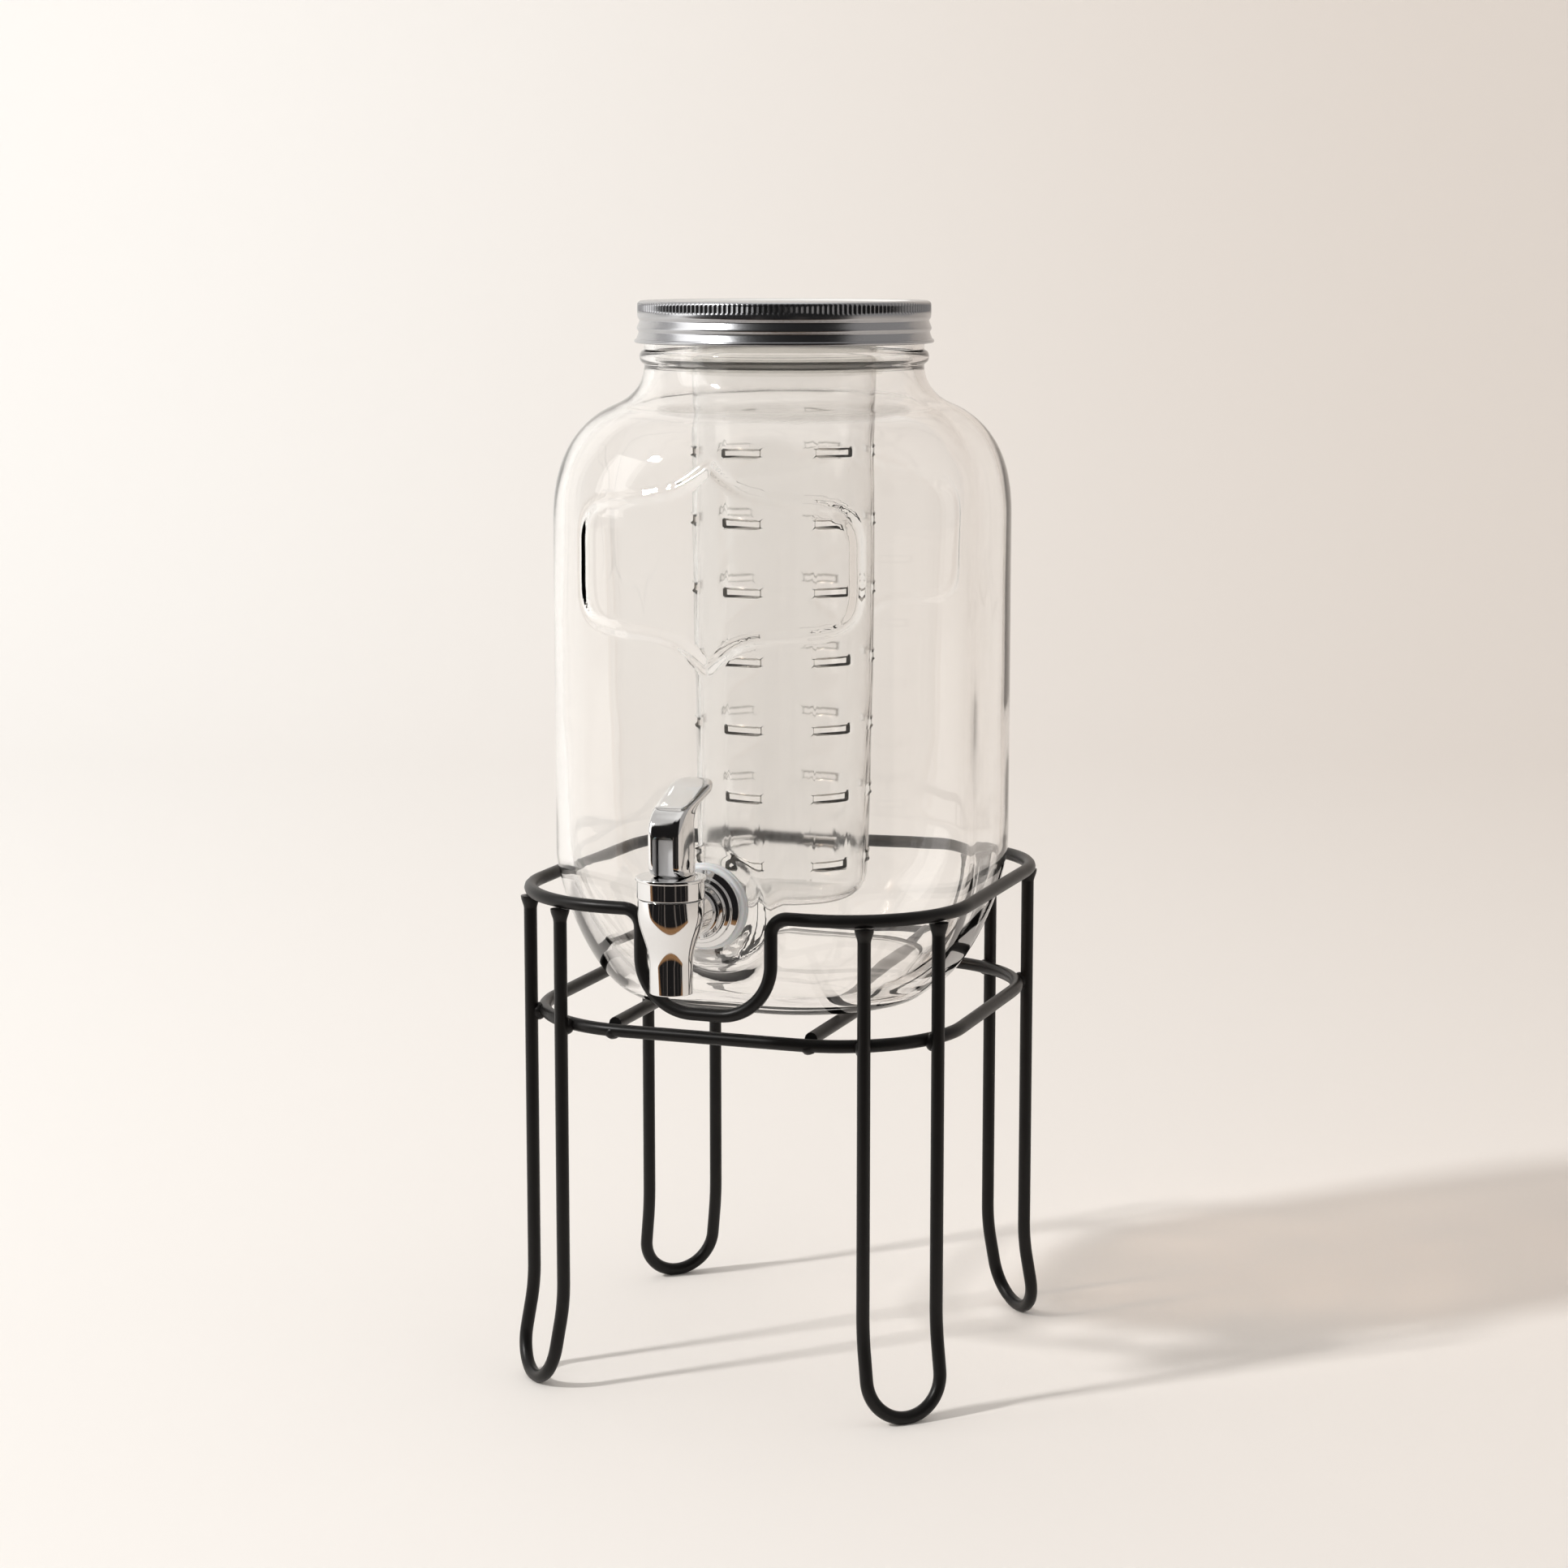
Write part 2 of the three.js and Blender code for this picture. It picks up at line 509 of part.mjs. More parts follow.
// The glass jar, with its bead, its thread, its flat pad and the hole for the tap.
function jar() {
  const beadHeight = JAR_HEIGHT - BEAD_DROP;
  const inner = NECK_RADIUS - NECK_WALL / 2;
  const bead = turned([
    [inner, beadHeight - BEAD_HALF_HEIGHT],
    [NECK_RADIUS, beadHeight - BEAD_HALF_HEIGHT],
    [NECK_RADIUS + BEAD_PROUD, beadHeight - BEAD_HALF_HEIGHT / 3],
    [NECK_RADIUS + BEAD_PROUD, beadHeight + BEAD_HALF_HEIGHT / 3],
    [NECK_RADIUS, beadHeight + BEAD_HALF_HEIGHT],
    [inner, beadHeight + BEAD_HALF_HEIGHT],
  ], JAR_SIDES);
  const rimCut = turned([
    [NECK_RADIUS - RIM_ROUNDING, JAR_HEIGHT + RIM_ROUNDING],
    [NECK_RADIUS + RIM_ROUNDING, JAR_HEIGHT + RIM_ROUNDING],
    [NECK_RADIUS + RIM_ROUNDING, JAR_HEIGHT - RIM_ROUNDING],
    [NECK_RADIUS, JAR_HEIGHT - RIM_ROUNDING],
    [NECK_RADIUS - RIM_ROUNDING, JAR_HEIGHT],
  ], JAR_SIDES);
  const padBack = PAD_FACE - PAD_RADIUS;
  const atShank = [0, 0, SHANK_HEIGHT];
  const pad = forwardBar(PAD_RADIUS, padBack, PAD_FACE, TAP_SIDES).translate(atShank);
  const seat = PAD_FACE - PAD_THICKNESS;
  const seatRadius = INNER_WASHER_RADIUS + SHANK_HOLE_CLEARANCE;
  const spotFace = forwardBar(seatRadius, seat - PAD_RADIUS, seat, TAP_SIDES).translate(atShank);
  const holeRadius = SHANK_RADIUS + SHANK_HOLE_CLEARANCE;
  const hole = forwardBar(holeRadius, padBack, PAD_FACE + CUT_OVERRUN, TAP_SIDES).translate(atShank);
  const outside = jarForm(0, 0, 0, 0).add(bead).add(neckThread()).add(pad);
  const inside = jarForm(GLASS_WALL, NECK_WALL, BASE_THICKNESS, CUT_OVERRUN);
  return outside.subtract(inside).subtract(rimCut).subtract(spotFace).subtract(hole);
}

// The screw cap's outline from its middle out and down to the hem, set in by a given amount.
function capOutline(inset) {
  const bead = (proud, drop) => [
    [CAP_SKIRT_RADIUS - inset, -(drop - CAP_BEAD_HALF_HEIGHT)],
    [CAP_SKIRT_RADIUS + proud - inset, -(drop - CAP_BEAD_HALF_HEIGHT / 3)],
    [CAP_SKIRT_RADIUS + proud - inset, -(drop + CAP_BEAD_HALF_HEIGHT / 3)],
  ];
  return [
    [0, -CAP_PANEL_DEPTH - inset],
    [CAP_PANEL_RADIUS - inset / 2, -CAP_PANEL_DEPTH - inset],
    [CAP_PANEL_RADIUS + CAP_PANEL_STEP + inset / 2, -inset],
    [CAP_EDGE_RADIUS - CAP_EDGE_ROUNDING, -inset],
    [CAP_EDGE_RADIUS - inset, -CAP_EDGE_ROUNDING],
    [CAP_EDGE_RADIUS - inset, -CAP_KNURL_DROP],
    ...bead(CAP_UPPER_BEAD_PROUD, CAP_UPPER_BEAD_DROP),
    [CAP_SKIRT_RADIUS - CAP_GROOVE_DEPTH - inset, -CAP_GROOVE_DROP],
    ...bead(CAP_LOWER_BEAD_PROUD, CAP_LOWER_BEAD_DROP).slice(1),
  ];
}

// The screw cap, one thin shell from panel to rolled hem. Heights run down from its top.
function lidCap() {
  const hemTop = -CAP_HEIGHT + CAP_HEM_THICKNESS;
  const outside = capOutline(0);
  const inside = capOutline(CAP_SHEET).reverse();
  const skirtInside = CAP_SKIRT_RADIUS - CAP_SHEET;
  const hem = [
    [CAP_SKIRT_RADIUS, hemTop],
    [CAP_HEM_RADIUS, hemTop - CAP_HEM_THICKNESS / 3],
    [CAP_HEM_RADIUS, -CAP_HEIGHT + CAP_HEM_THICKNESS / 3],
    [CAP_SKIRT_RADIUS, -CAP_HEIGHT],
    [skirtInside, -CAP_HEIGHT],
    [skirtInside, hemTop],
  ];
  return turned([...outside, ...hem, ...inside], CAP_SIDES);
}

// The ring gasket under the cap.
function lidLiner() {
  const top = -CAP_SHEET - CAP_GAP;
  const middle = NECK_RADIUS - NECK_WALL / 2;
  const inner = middle - LINER_WIDTH / 2;
  const outer = middle + LINER_WIDTH / 2;
  const low = top - LINER_THICKNESS;
  return turned([[inner, low], [outer, low], [outer, top], [inner, top]], CAP_SIDES);
}

// The collar under the cap that the infuser screws into.
function infuserSocket() {
  const top = -CAP_PANEL_DEPTH - CAP_SHEET - CAP_GAP;
  const inner = TUBE_RADIUS + TUBE_THREAD_GAP;
  const outer = inner + SOCKET_WALL;
  const low = top - SOCKET_PLATE - SOCKET_DEPTH;
  return turned([
    [0, top - SOCKET_PLATE],
    [inner, top - SOCKET_PLATE],
    [inner, low],
    [outer, low],
    [outer, top],
    [0, top],
  ], TUBE_SIDES);
}

// The slotted infuser tube. Its own zero is its open top.
function infuserTube() {
  const turnRadius = TUBE_FOOT_RADIUS - TUBE_FOOT_ROUNDING;
  const turnHeight = -TUBE_LENGTH + TUBE_FOOT_ROUNDING;
  const foot = (radius) => arc(turnRadius, turnHeight, radius, -QUARTER_TURN, 0, FILLET_STEPS);
  const wall = turned([
    [0, -TUBE_LENGTH],
    ...foot(TUBE_FOOT_ROUNDING),
    [TUBE_RADIUS, 0],
    [TUBE_RADIUS - TUBE_WALL, 0],
    ...foot(TUBE_FOOT_ROUNDING - TUBE_WALL).reverse(),
    [0, -TUBE_LENGTH + TUBE_WALL],
  ], TUBE_SIDES);
  let slotted = wall;
  for (let row = 0; row < SLOT_ROWS; row += 1) {
    const height = -TUBE_LENGTH + LOWEST_SLOT_RISE + row * SLOT_PITCH;
    for (let pair = 0; pair < SLOT_COLUMNS / 2; pair += 1) {
      const reach = TUBE_RADIUS + TUBE_WALL;
      const low = [-SLOT_WIDTH / 2, -reach, height - SLOT_HEIGHT / 2];
      const high = [SLOT_WIDTH / 2, reach, height + SLOT_HEIGHT / 2];
      const turn = SLOT_TURN_DEGREES + (360 / SLOT_COLUMNS) * pair;
      slotted = slotted.subtract(block(low, high).rotate([0, 0, turn]));
    }
  }
  return slotted;
}

// How far the barrel's skin stands off its axis at a height above the tap's centre.
function barrelRadius(height) {
  const share = (height - BARREL_TAPER_FOOT) / (BARREL_TAPER_TOP - BARREL_TAPER_FOOT);
  const held = Math.min(1, Math.max(0, share));
  return NOZZLE_RADIUS + (BARREL_RADIUS - NOZZLE_RADIUS) * held * held * (3 - 2 * held);
}

// The tap's body: barrel, nozzle, flange and shank in one moulding.
function tapBody() {
  const taper = Array.from({ length: SHOULDER_STEPS + 1 }, (_, i) => {
    const height = BARREL_TAPER_FOOT + ((BARREL_TAPER_TOP - BARREL_TAPER_FOOT) * i) / SHOULDER_STEPS;
    return [barrelRadius(height), height];
  });
  const barrel = turned([
    [0, -NOZZLE_DROP],
    [NOZZLE_RADIUS, -NOZZLE_DROP],
    ...taper,
    [BARREL_RADIUS, BARREL_TOP_RISE],
    [0, BARREL_TOP_RISE],
  ], TAP_SIDES);
  const seatHeight = -SEAT_DROP;
  const boreTop = -NOZZLE_DROP + NOZZLE_BORE_HEIGHT;
  const waterway = turned([
    [0, -NOZZLE_DROP - CUT_OVERRUN],
    [NOZZLE_BORE_RADIUS, -NOZZLE_DROP - CUT_OVERRUN],
    [NOZZLE_BORE_RADIUS, boreTop],
    [SEAT_BORE_RADIUS, boreTop + NOZZLE_BORE_RADIUS - SEAT_BORE_RADIUS],
    [SEAT_BORE_RADIUS, seatHeight],
    [CHAMBER_RADIUS, seatHeight],
    [CHAMBER_RADIUS, BARREL_TOP_RISE + CUT_OVERRUN],
    [0, BARREL_TOP_RISE + CUT_OVERRUN],
  ], TAP_SIDES);
  const gasket = GASKET_THICKNESS + PART_GAP;
  const flangeBack = TAP_STANDOFF - PART_GAP - gasket;
  const clamped = PAD_THICKNESS + INNER_WASHER_THICKNESS + NUT_THICKNESS + 2 * PART_GAP;
  const tail = TAP_STANDOFF + clamped + SHANK_TAIL;
  const back = (length) => -(flangeBack - length);
  const shank = turnedForward([
    [0, -tail],
    [SHANK_RADIUS, -tail],
    [SHANK_RADIUS, -flangeBack],
    [FLANGE_RADIUS, -flangeBack],
    [FLANGE_RADIUS, back(FLANGE_RIM)],
    [FLANGE_STEP_RADIUS, back(FLANGE_STEP_LENGTH - (FLANGE_RADIUS - FLANGE_STEP_RADIUS) / 2)],
    [FLANGE_STEP_RADIUS, back(FLANGE_STEP_LENGTH)],
    [COLLAR_RADIUS, back(COLLAR_LENGTH - (COLLAR_RADIUS - NECK_TUBE_RADIUS) / 2)],
    [COLLAR_RADIUS, back(COLLAR_LENGTH)],
    [NECK_TUBE_RADIUS, back(COLLAR_LENGTH)],
    [NECK_TUBE_RADIUS, -CHAMBER_RADIUS],
    [0, -CHAMBER_RADIUS],
  ], TAP_SIDES);
  const bore = forwardBar(SHANK_BORE_RADIUS, -tail - CUT_OVERRUN, 0, SMALL_SIDES);
  return barrel.add(shank).subtract(waterway).subtract(bore);
}

// The cap screwed into the barrel's top, which guides the stem and holds the spring.
function tapBonnet() {
  const low = BARREL_TOP_RISE + PART_GAP;
  const plug = CHAMBER_RADIUS - PART_GAP;
  const pocketTop = BONNET_TOP_RISE - BONNET_TOP_THICKNESS;
  const rimLow = BONNET_TOP_RISE - BONNET_RIM_THICKNESS;
  const bore = STEM_RADIUS + PART_GAP;
  return turned([
    [plug, BARREL_TOP_RISE - BONNET_PLUG_DEPTH],
    [plug, low],
    [BONNET_RADIUS, low],
    [BONNET_RADIUS, rimLow],
    [BONNET_RIM_RADIUS, rimLow],
    [BONNET_RIM_RADIUS, BONNET_TOP_RISE],
    [bore, BONNET_TOP_RISE],
    [bore, pocketTop],
    [SPRING_POCKET_RADIUS, pocketTop],
    [SPRING_POCKET_RADIUS, BARREL_TOP_RISE - BONNET_PLUG_DEPTH],
  ], TAP_SIDES);
}

// The height of the stem collar's top, which the spring presses on.
function collarTop() {
  return -SEAT_DROP + PART_GAP + CUP_HEIGHT + PART_GAP + STEM_COLLAR_THICKNESS;
}

// The valve stem, with its collar and the flat head between the lever's legs.
function valveStem() {
  const foot = -SEAT_DROP + PART_GAP + CUP_FLOOR + PART_GAP;
  const shaft = roundBar(STEM_RADIUS, foot, PIN_RISE, SMALL_SIDES);
  const collar = roundBar(STEM_COLLAR_RADIUS, collarTop() - STEM_COLLAR_THICKNESS, collarTop(), SMALL_SIDES);
  const headLow = [-STEM_HEAD_WIDTH / 2, -STEM_HEAD_DEPTH / 2, BONNET_TOP_RISE + PART_GAP];
  const headHigh = [STEM_HEAD_WIDTH / 2, STEM_HEAD_DEPTH / 2, PIN_RISE + STEM_HEAD_RISE];
  const pinHole = sideBar(PIN_RADIUS + PIN_HOLE_CLEARANCE, STEM_HEAD_WIDTH);
  return shaft.add(collar).add(block(headLow, headHigh)).subtract(pinHole);
}

// A round bar along X at the lever's pin.
function sideBar(radius, length) {
  const bar = new THREE.CylinderGeometry(radius, radius, length, SMALL_SIDES);
  return solid(bar.rotateZ(QUARTER_TURN).translate(0, 0, PIN_RISE));
}

// The silicone cup on the stem's foot.
function seatCup() {
  const low = -SEAT_DROP + PART_GAP;
  const socket = STEM_RADIUS + PART_GAP;
  return turned([
    [0, low],
    [CUP_RADIUS, low],
    [CUP_RADIUS, low + CUP_HEIGHT],
    [socket, low + CUP_HEIGHT],
    [socket, low + CUP_FLOOR],
    [0, low + CUP_FLOOR],
  ], TAP_SIDES);
}

// The closing spring round the stem, with its least gap from one turn to the next printed.
function closingSpring() {
  const low = collarTop() + PART_GAP + SPRING_WIRE / 2;
  const high = BONNET_TOP_RISE - BONNET_TOP_THICKNESS - PART_GAP - SPRING_WIRE / 2;
  const steps = SPRING_TURNS * COIL_STEPS_PER_TURN;
  const places = Array.from({ length: steps + 1 }, (_, i) => {
    const angle = (FULL_TURN * i) / COIL_STEPS_PER_TURN;
    const across = new THREE.Vector3(Math.cos(angle), Math.sin(angle), 0);
    const point = across.clone().multiplyScalar(SPRING_RADIUS).setZ(low + ((high - low) * i) / steps);
    return { point, across };
  });
  const turnApart = places[COIL_STEPS_PER_TURN].point.distanceTo(places[0].point) - SPRING_WIRE;
  console.log("closing_spring least gap between turns " + turnApart.toFixed(2) + " mm");
  return wire(places, SPRING_WIRE / 2, COIL_SIDES, false);
}

// The heel of the lever: an involute, so that the stem rises in step with the lever's angle.
function heelCurve() {
  return Array.from({ length: CAM_STEPS + 1 }, (_, i) => {
    const angle = (LEVER_SWING * i) / CAM_STEPS;
    const reach = HEEL_REACH + LIFT_PER_RADIAN * angle;
    const y = -reach * Math.sin(angle) - LIFT_PER_RADIAN * Math.cos(angle);
    const z = -reach * Math.cos(angle) + LIFT_PER_RADIAN * Math.sin(angle);
    return [y, z];
  });
}

// The lever's side view about its pin: heel, front face, top, tip, underside and back.
function leverSide() {
  const heel = heelCurve();
  const along = ([reach, rise]) => new THREE.Vector2(reach * PADDLE_REACH, rise * PADDLE_RISE);
  const outline = new THREE.Shape(heel.map(([y, z]) => new THREE.Vector2(y, z)));
  outline.lineTo(-LEVER_FRONT, heel[heel.length - 1][1] + LEVER_EDGE);
  outline.lineTo(-LEVER_FRONT, LEVER_ELBOW_RISE);
  outline.splineThru(LEVER_TOP_SHARES.map(along));
  outline.lineTo(PADDLE_REACH, PADDLE_RISE - PADDLE_THICKNESS / 3);
  outline.lineTo(PADDLE_REACH - LEVER_EDGE, PADDLE_RISE - PADDLE_THICKNESS);
  outline.splineThru(LEVER_UNDERSIDE_SHARES.map(along));
  outline.lineTo(LEVER_BACK, -HEEL_REACH + LEVER_EDGE);
  outline.lineTo(LEVER_BACK - LEVER_EDGE, -HEEL_REACH);
  return outline;
}

// The lever seen from above: two straight legs that widen to a paddle with a round end.
function leverPlan() {
  const leg = LEVER_WIDTH / 2;
  const round = PADDLE_WIDTH / 2;
  const roundStart = PADDLE_REACH - round;
  const outline = new THREE.Shape();
  outline.moveTo(-leg + LEVER_EDGE, -LEVER_FRONT);
  outline.lineTo(leg - LEVER_EDGE, -LEVER_FRONT);
  outline.lineTo(leg, LEVER_EDGE - LEVER_FRONT);
  outline.lineTo(leg, LEVER_BACK);
  outline.lineTo(round, roundStart);
  outline.absarc(0, roundStart, round, 0, Math.PI, false);
  outline.lineTo(-leg, LEVER_BACK);
  outline.lineTo(-leg, LEVER_EDGE - LEVER_FRONT);
  return outline;
}

// The forked lever. The slot between its legs clears the stem's head all through the swing.
function tapLever() {
  const wide = PADDLE_WIDTH + CUT_OVERRUN;
  const high = PADDLE_RISE + HEEL_REACH + CUT_OVERRUN;
  const steps = { curveSegments: LEVER_STEPS, bevelEnabled: false };
  const side = new THREE.ExtrudeGeometry(leverSide(), { depth: wide, ...steps });
  const plan = new THREE.ExtrudeGeometry(leverPlan(), { depth: high, ...steps });
  const sideways = new THREE.Matrix4().makeBasis(
    new THREE.Vector3(0, 1, 0), new THREE.Vector3(0, 0, 1), new THREE.Vector3(1, 0, 0),
  );
  const sideSolid = solid(side.translate(0, 0, -wide / 2).applyMatrix4(sideways));
  const planSolid = solid(plan.translate(0, 0, -HEEL_REACH - CUT_OVERRUN / 2));
  const lever = sideSolid.intersect(planSolid).translate([0, 0, PIN_RISE]);
  const reach = LEVER_FRONT + LEVER_BACK;
  const slot = block(
    [-LEVER_SLOT_WIDTH / 2, -reach, PIN_RISE - reach],
    [LEVER_SLOT_WIDTH / 2, reach, PIN_RISE + LEVER_SLOT_RISE],
  );
  const pinHole = sideBar(PIN_RADIUS + PIN_HOLE_CLEARANCE, LEVER_WIDTH + CUT_OVERRUN);
  return lever.subtract(slot).subtract(pinHole);
}

// A flat washer round the shank, with its back at a distance behind the tap's centre.
function washer(radius, thickness, back) {
  const bore = SHANK_RADIUS + PART_GAP;
  return turnedForward([
    [bore, -back],
    [radius, -back],
    [radius, -(back - thickness)],
    [bore, -(back - thickness)],
  ], TAP_SIDES);
}

// The six-sided nut that clamps the tap from inside the jar.
function shankNut(back) {
  const corner = NUT_ACROSS_FLATS / 2 / Math.cos(Math.PI / 6);
  const body = forwardBar(corner, -back, -(back - NUT_THICKNESS), 6);
  const bore = forwardBar(SHANK_RADIUS + PART_GAP, -back - CUT_OVERRUN, CUT_OVERRUN - back, TAP_SIDES);
  return body.subtract(bore);
}

// The finishes of the real pieces.
const BLACK_WIRE = { color: 0x1d1b1a, roughness: 0.5, metalness: 0.2 };
const CLEAR_GLASS = { color: 0xdfe6e1, roughness: 0.05, metalness: 0, transparent: true, opacity: 0.35 };
const TINNED_CAP = { color: 0xb4b4b6, roughness: 0.35, metalness: 1 };
const CLEAR_PLASTIC = { color: 0xe6e8e4, roughness: 0.15, metalness: 0, transparent: true, opacity: 0.45 };
const CHROME = { color: 0xd0d2d4, roughness: 0.08, metalness: 1 };
const GREY_PLASTIC = { color: 0x8d8f92, roughness: 0.5, metalness: 0 };
const SILICONE = { color: 0xe9ebec, roughness: 0.5, metalness: 0 };
const SPRING_STEEL = { color: 0x9a9c9e, roughness: 0.3, metalness: 1 };

// The stand, built on the floor about its own axis.
function stand() {
  const group = new THREE.Group();
  group.add(piece("top_ring", topRing(), BLACK_WIRE));
  group.add(piece("lower_ring", lowerRing(), BLACK_WIRE));
  for (const [side, sign] of [["left", -1], ["right", 1]]) {
    const bar = piece("cross_bar_" + side, crossBar(), BLACK_WIRE);
    bar.position.set(sign * BAR_OFFSET, 0, LOWER_RING_HEIGHT + BAR_RISE);
    group.add(bar);
  }
  for (const [end, y] of [["front", -1], ["back", 1]]) {
    for (const [side, x] of [["left", -1], ["right", 1]]) {
      const leg = piece("leg_" + end + "_" + side, hairpinLeg(), BLACK_WIRE);
      leg.position.set((x * LEG_REACH) / Math.SQRT2, (y * LEG_REACH) / Math.SQRT2, 0);
      leg.rotation.z = Math.atan2(y, x) - QUARTER_TURN;
      group.add(leg);
    }
  }
  return group;
}

// The cap and what hangs from it, built down from the cap's top.
function lid() {
  const group = new THREE.Group();
  group.add(piece("lid_cap", lidCap(), TINNED_CAP));
  group.add(piece("lid_liner", lidLiner(), SILICONE));
  group.add(piece("infuser_socket", infuserSocket(), CLEAR_PLASTIC));
  const tube = piece("infuser_tube", infuserTube(), CLEAR_PLASTIC);
  tube.position.z = -TUBE_TOP_DROP;
  group.add(tube);
  return group;
}

// The tap, built about the point where its shank meets its barrel.
function tap() {
  const group = new THREE.Group();
  const insideGlass = TAP_STANDOFF + PAD_THICKNESS + PART_GAP + INNER_WASHER_THICKNESS;
  const gasket = washer(GASKET_RADIUS, GASKET_THICKNESS, TAP_STANDOFF - PART_GAP);
  const innerWasher = washer(INNER_WASHER_RADIUS, INNER_WASHER_THICKNESS, insideGlass);
  group.add(piece("tap_body", tapBody(), CHROME));
  group.add(piece("tap_bonnet", tapBonnet(), CHROME));
  group.add(piece("tap_lever", tapLever(), CHROME));
  group.add(piece("lever_pin", sideBar(PIN_RADIUS, PIN_LENGTH), SPRING_STEEL));
  group.add(piece("valve_stem", valveStem(), GREY_PLASTIC));
  group.add(piece("seat_cup", seatCup(), SILICONE));
  group.add(piece("closing_spring", closingSpring(), SPRING_STEEL));
  group.add(piece("outer_washer", gasket, SILICONE));
  group.add(piece("inner_washer", innerWasher, SILICONE));
  group.add(piece("shank_nut", shankNut(insideGlass + PART_GAP + NUT_THICKNESS), GREY_PLASTIC));
  return group;
}

// The whole dispenser, about the stand's axis.
function dispenser() {
  const group = new THREE.Group();
  group.add(stand());
  const jarGroup = new THREE.Group();
  jarGroup.position.z = JAR_BASE_HEIGHT;
  jarGroup.add(piece("jar", jar(), CLEAR_GLASS));
  const tapGroup = tap();
  tapGroup.position.set(0, -PAD_FACE - TAP_STANDOFF, SHANK_HEIGHT);
  const lidGroup = lid();
  lidGroup.position.z = JAR_HEIGHT + LIP_TO_CAP_TOP;
  jarGroup.add(tapGroup, lidGroup);
  group.add(jarGroup);
  return group;
}

// The group that is handed on, with its origin under the middle of the object.
const part = new THREE.Group();
const whole = dispenser();
const middle = new THREE.Box3().setFromObject(whole, true).getCenter(new THREE.Vector3());
whole.position.set(-middle.x, -middle.y, 0);
part.add(whole);

export default part;
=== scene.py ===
"""Dresses the glass beverage dispenser: pressed glass jar, screw lid, fruit infuser, lever tap, wire stand.

Sizes are millimetres about each sub-assembly's own point, and finished meshes are stored in metres.
"""

import logging
import math
from collections.abc import Sequence
from dataclasses import dataclass
from enum import Enum

import bmesh
import bpy
from mathutils import Matrix, Vector, noise


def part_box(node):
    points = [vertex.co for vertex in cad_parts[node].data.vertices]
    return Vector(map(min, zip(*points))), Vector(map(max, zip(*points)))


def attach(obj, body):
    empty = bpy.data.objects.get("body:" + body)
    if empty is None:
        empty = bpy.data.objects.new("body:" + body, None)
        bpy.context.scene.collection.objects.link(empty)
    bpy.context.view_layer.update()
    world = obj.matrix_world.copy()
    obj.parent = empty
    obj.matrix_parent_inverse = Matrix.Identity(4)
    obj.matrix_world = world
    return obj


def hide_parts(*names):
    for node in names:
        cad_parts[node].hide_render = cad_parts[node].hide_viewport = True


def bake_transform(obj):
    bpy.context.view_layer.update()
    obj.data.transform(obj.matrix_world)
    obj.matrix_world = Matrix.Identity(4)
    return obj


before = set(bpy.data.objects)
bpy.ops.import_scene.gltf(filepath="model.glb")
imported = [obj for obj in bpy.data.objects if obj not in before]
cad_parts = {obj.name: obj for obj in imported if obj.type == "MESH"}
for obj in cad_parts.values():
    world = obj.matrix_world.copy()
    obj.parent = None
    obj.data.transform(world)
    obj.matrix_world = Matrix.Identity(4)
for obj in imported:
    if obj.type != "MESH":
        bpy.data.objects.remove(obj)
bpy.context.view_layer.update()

LOG = logging.getLogger("dispenser")
MM = 0.001
FULL_TURN = 2 * math.pi
QUARTER_TURN = math.pi / 2
PAINTED_GROOVE_SHADE = "painted_groove_shade"

LEAST = 0.0001
MERGE_WITHIN = 0.0005
MOST_EASED = 0.49
WARM_WHITE = (1.0, 0.98, 0.955)
BACKDROP_WHITE = (1.0, 0.975, 0.945)
DARK_ROOM = (0.013, 0.012, 0.012)
ROOM_BEHIND_GLASS = (0.5, 0.475, 0.445)

Point = tuple[float, float]
Colour = tuple[float, float, float]
Socket = bpy.types.NodeSocket
Mesh = bmesh.types.BMesh


class Carrier(Enum):
    """The moving bodies that pieces ride on."""

    STAND = "stand"
    JAR = "jar"
    LID = "lid"
    INFUSER = "infuser"
    STEM = "stem"
    LEVER = "lever"


class Slot(Enum):
    """The material slots of the part's record."""

    BLACK_WIRE = "black_wire"
    CLEAR_GLASS = "clear_glass"
    TINNED_STEEL = "tinned_steel"
    CLEAR_PLASTIC = "clear_plastic"
    CHROME = "chrome"
    GREY_PLASTIC = "grey_plastic"
    SILICONE = "silicone"
    SPRING_STEEL = "spring_steel"


class Facing(Enum):
    """The way the axis of a turned shape points."""

    UP = "up"
    FORWARD = "forward"


# Finishes

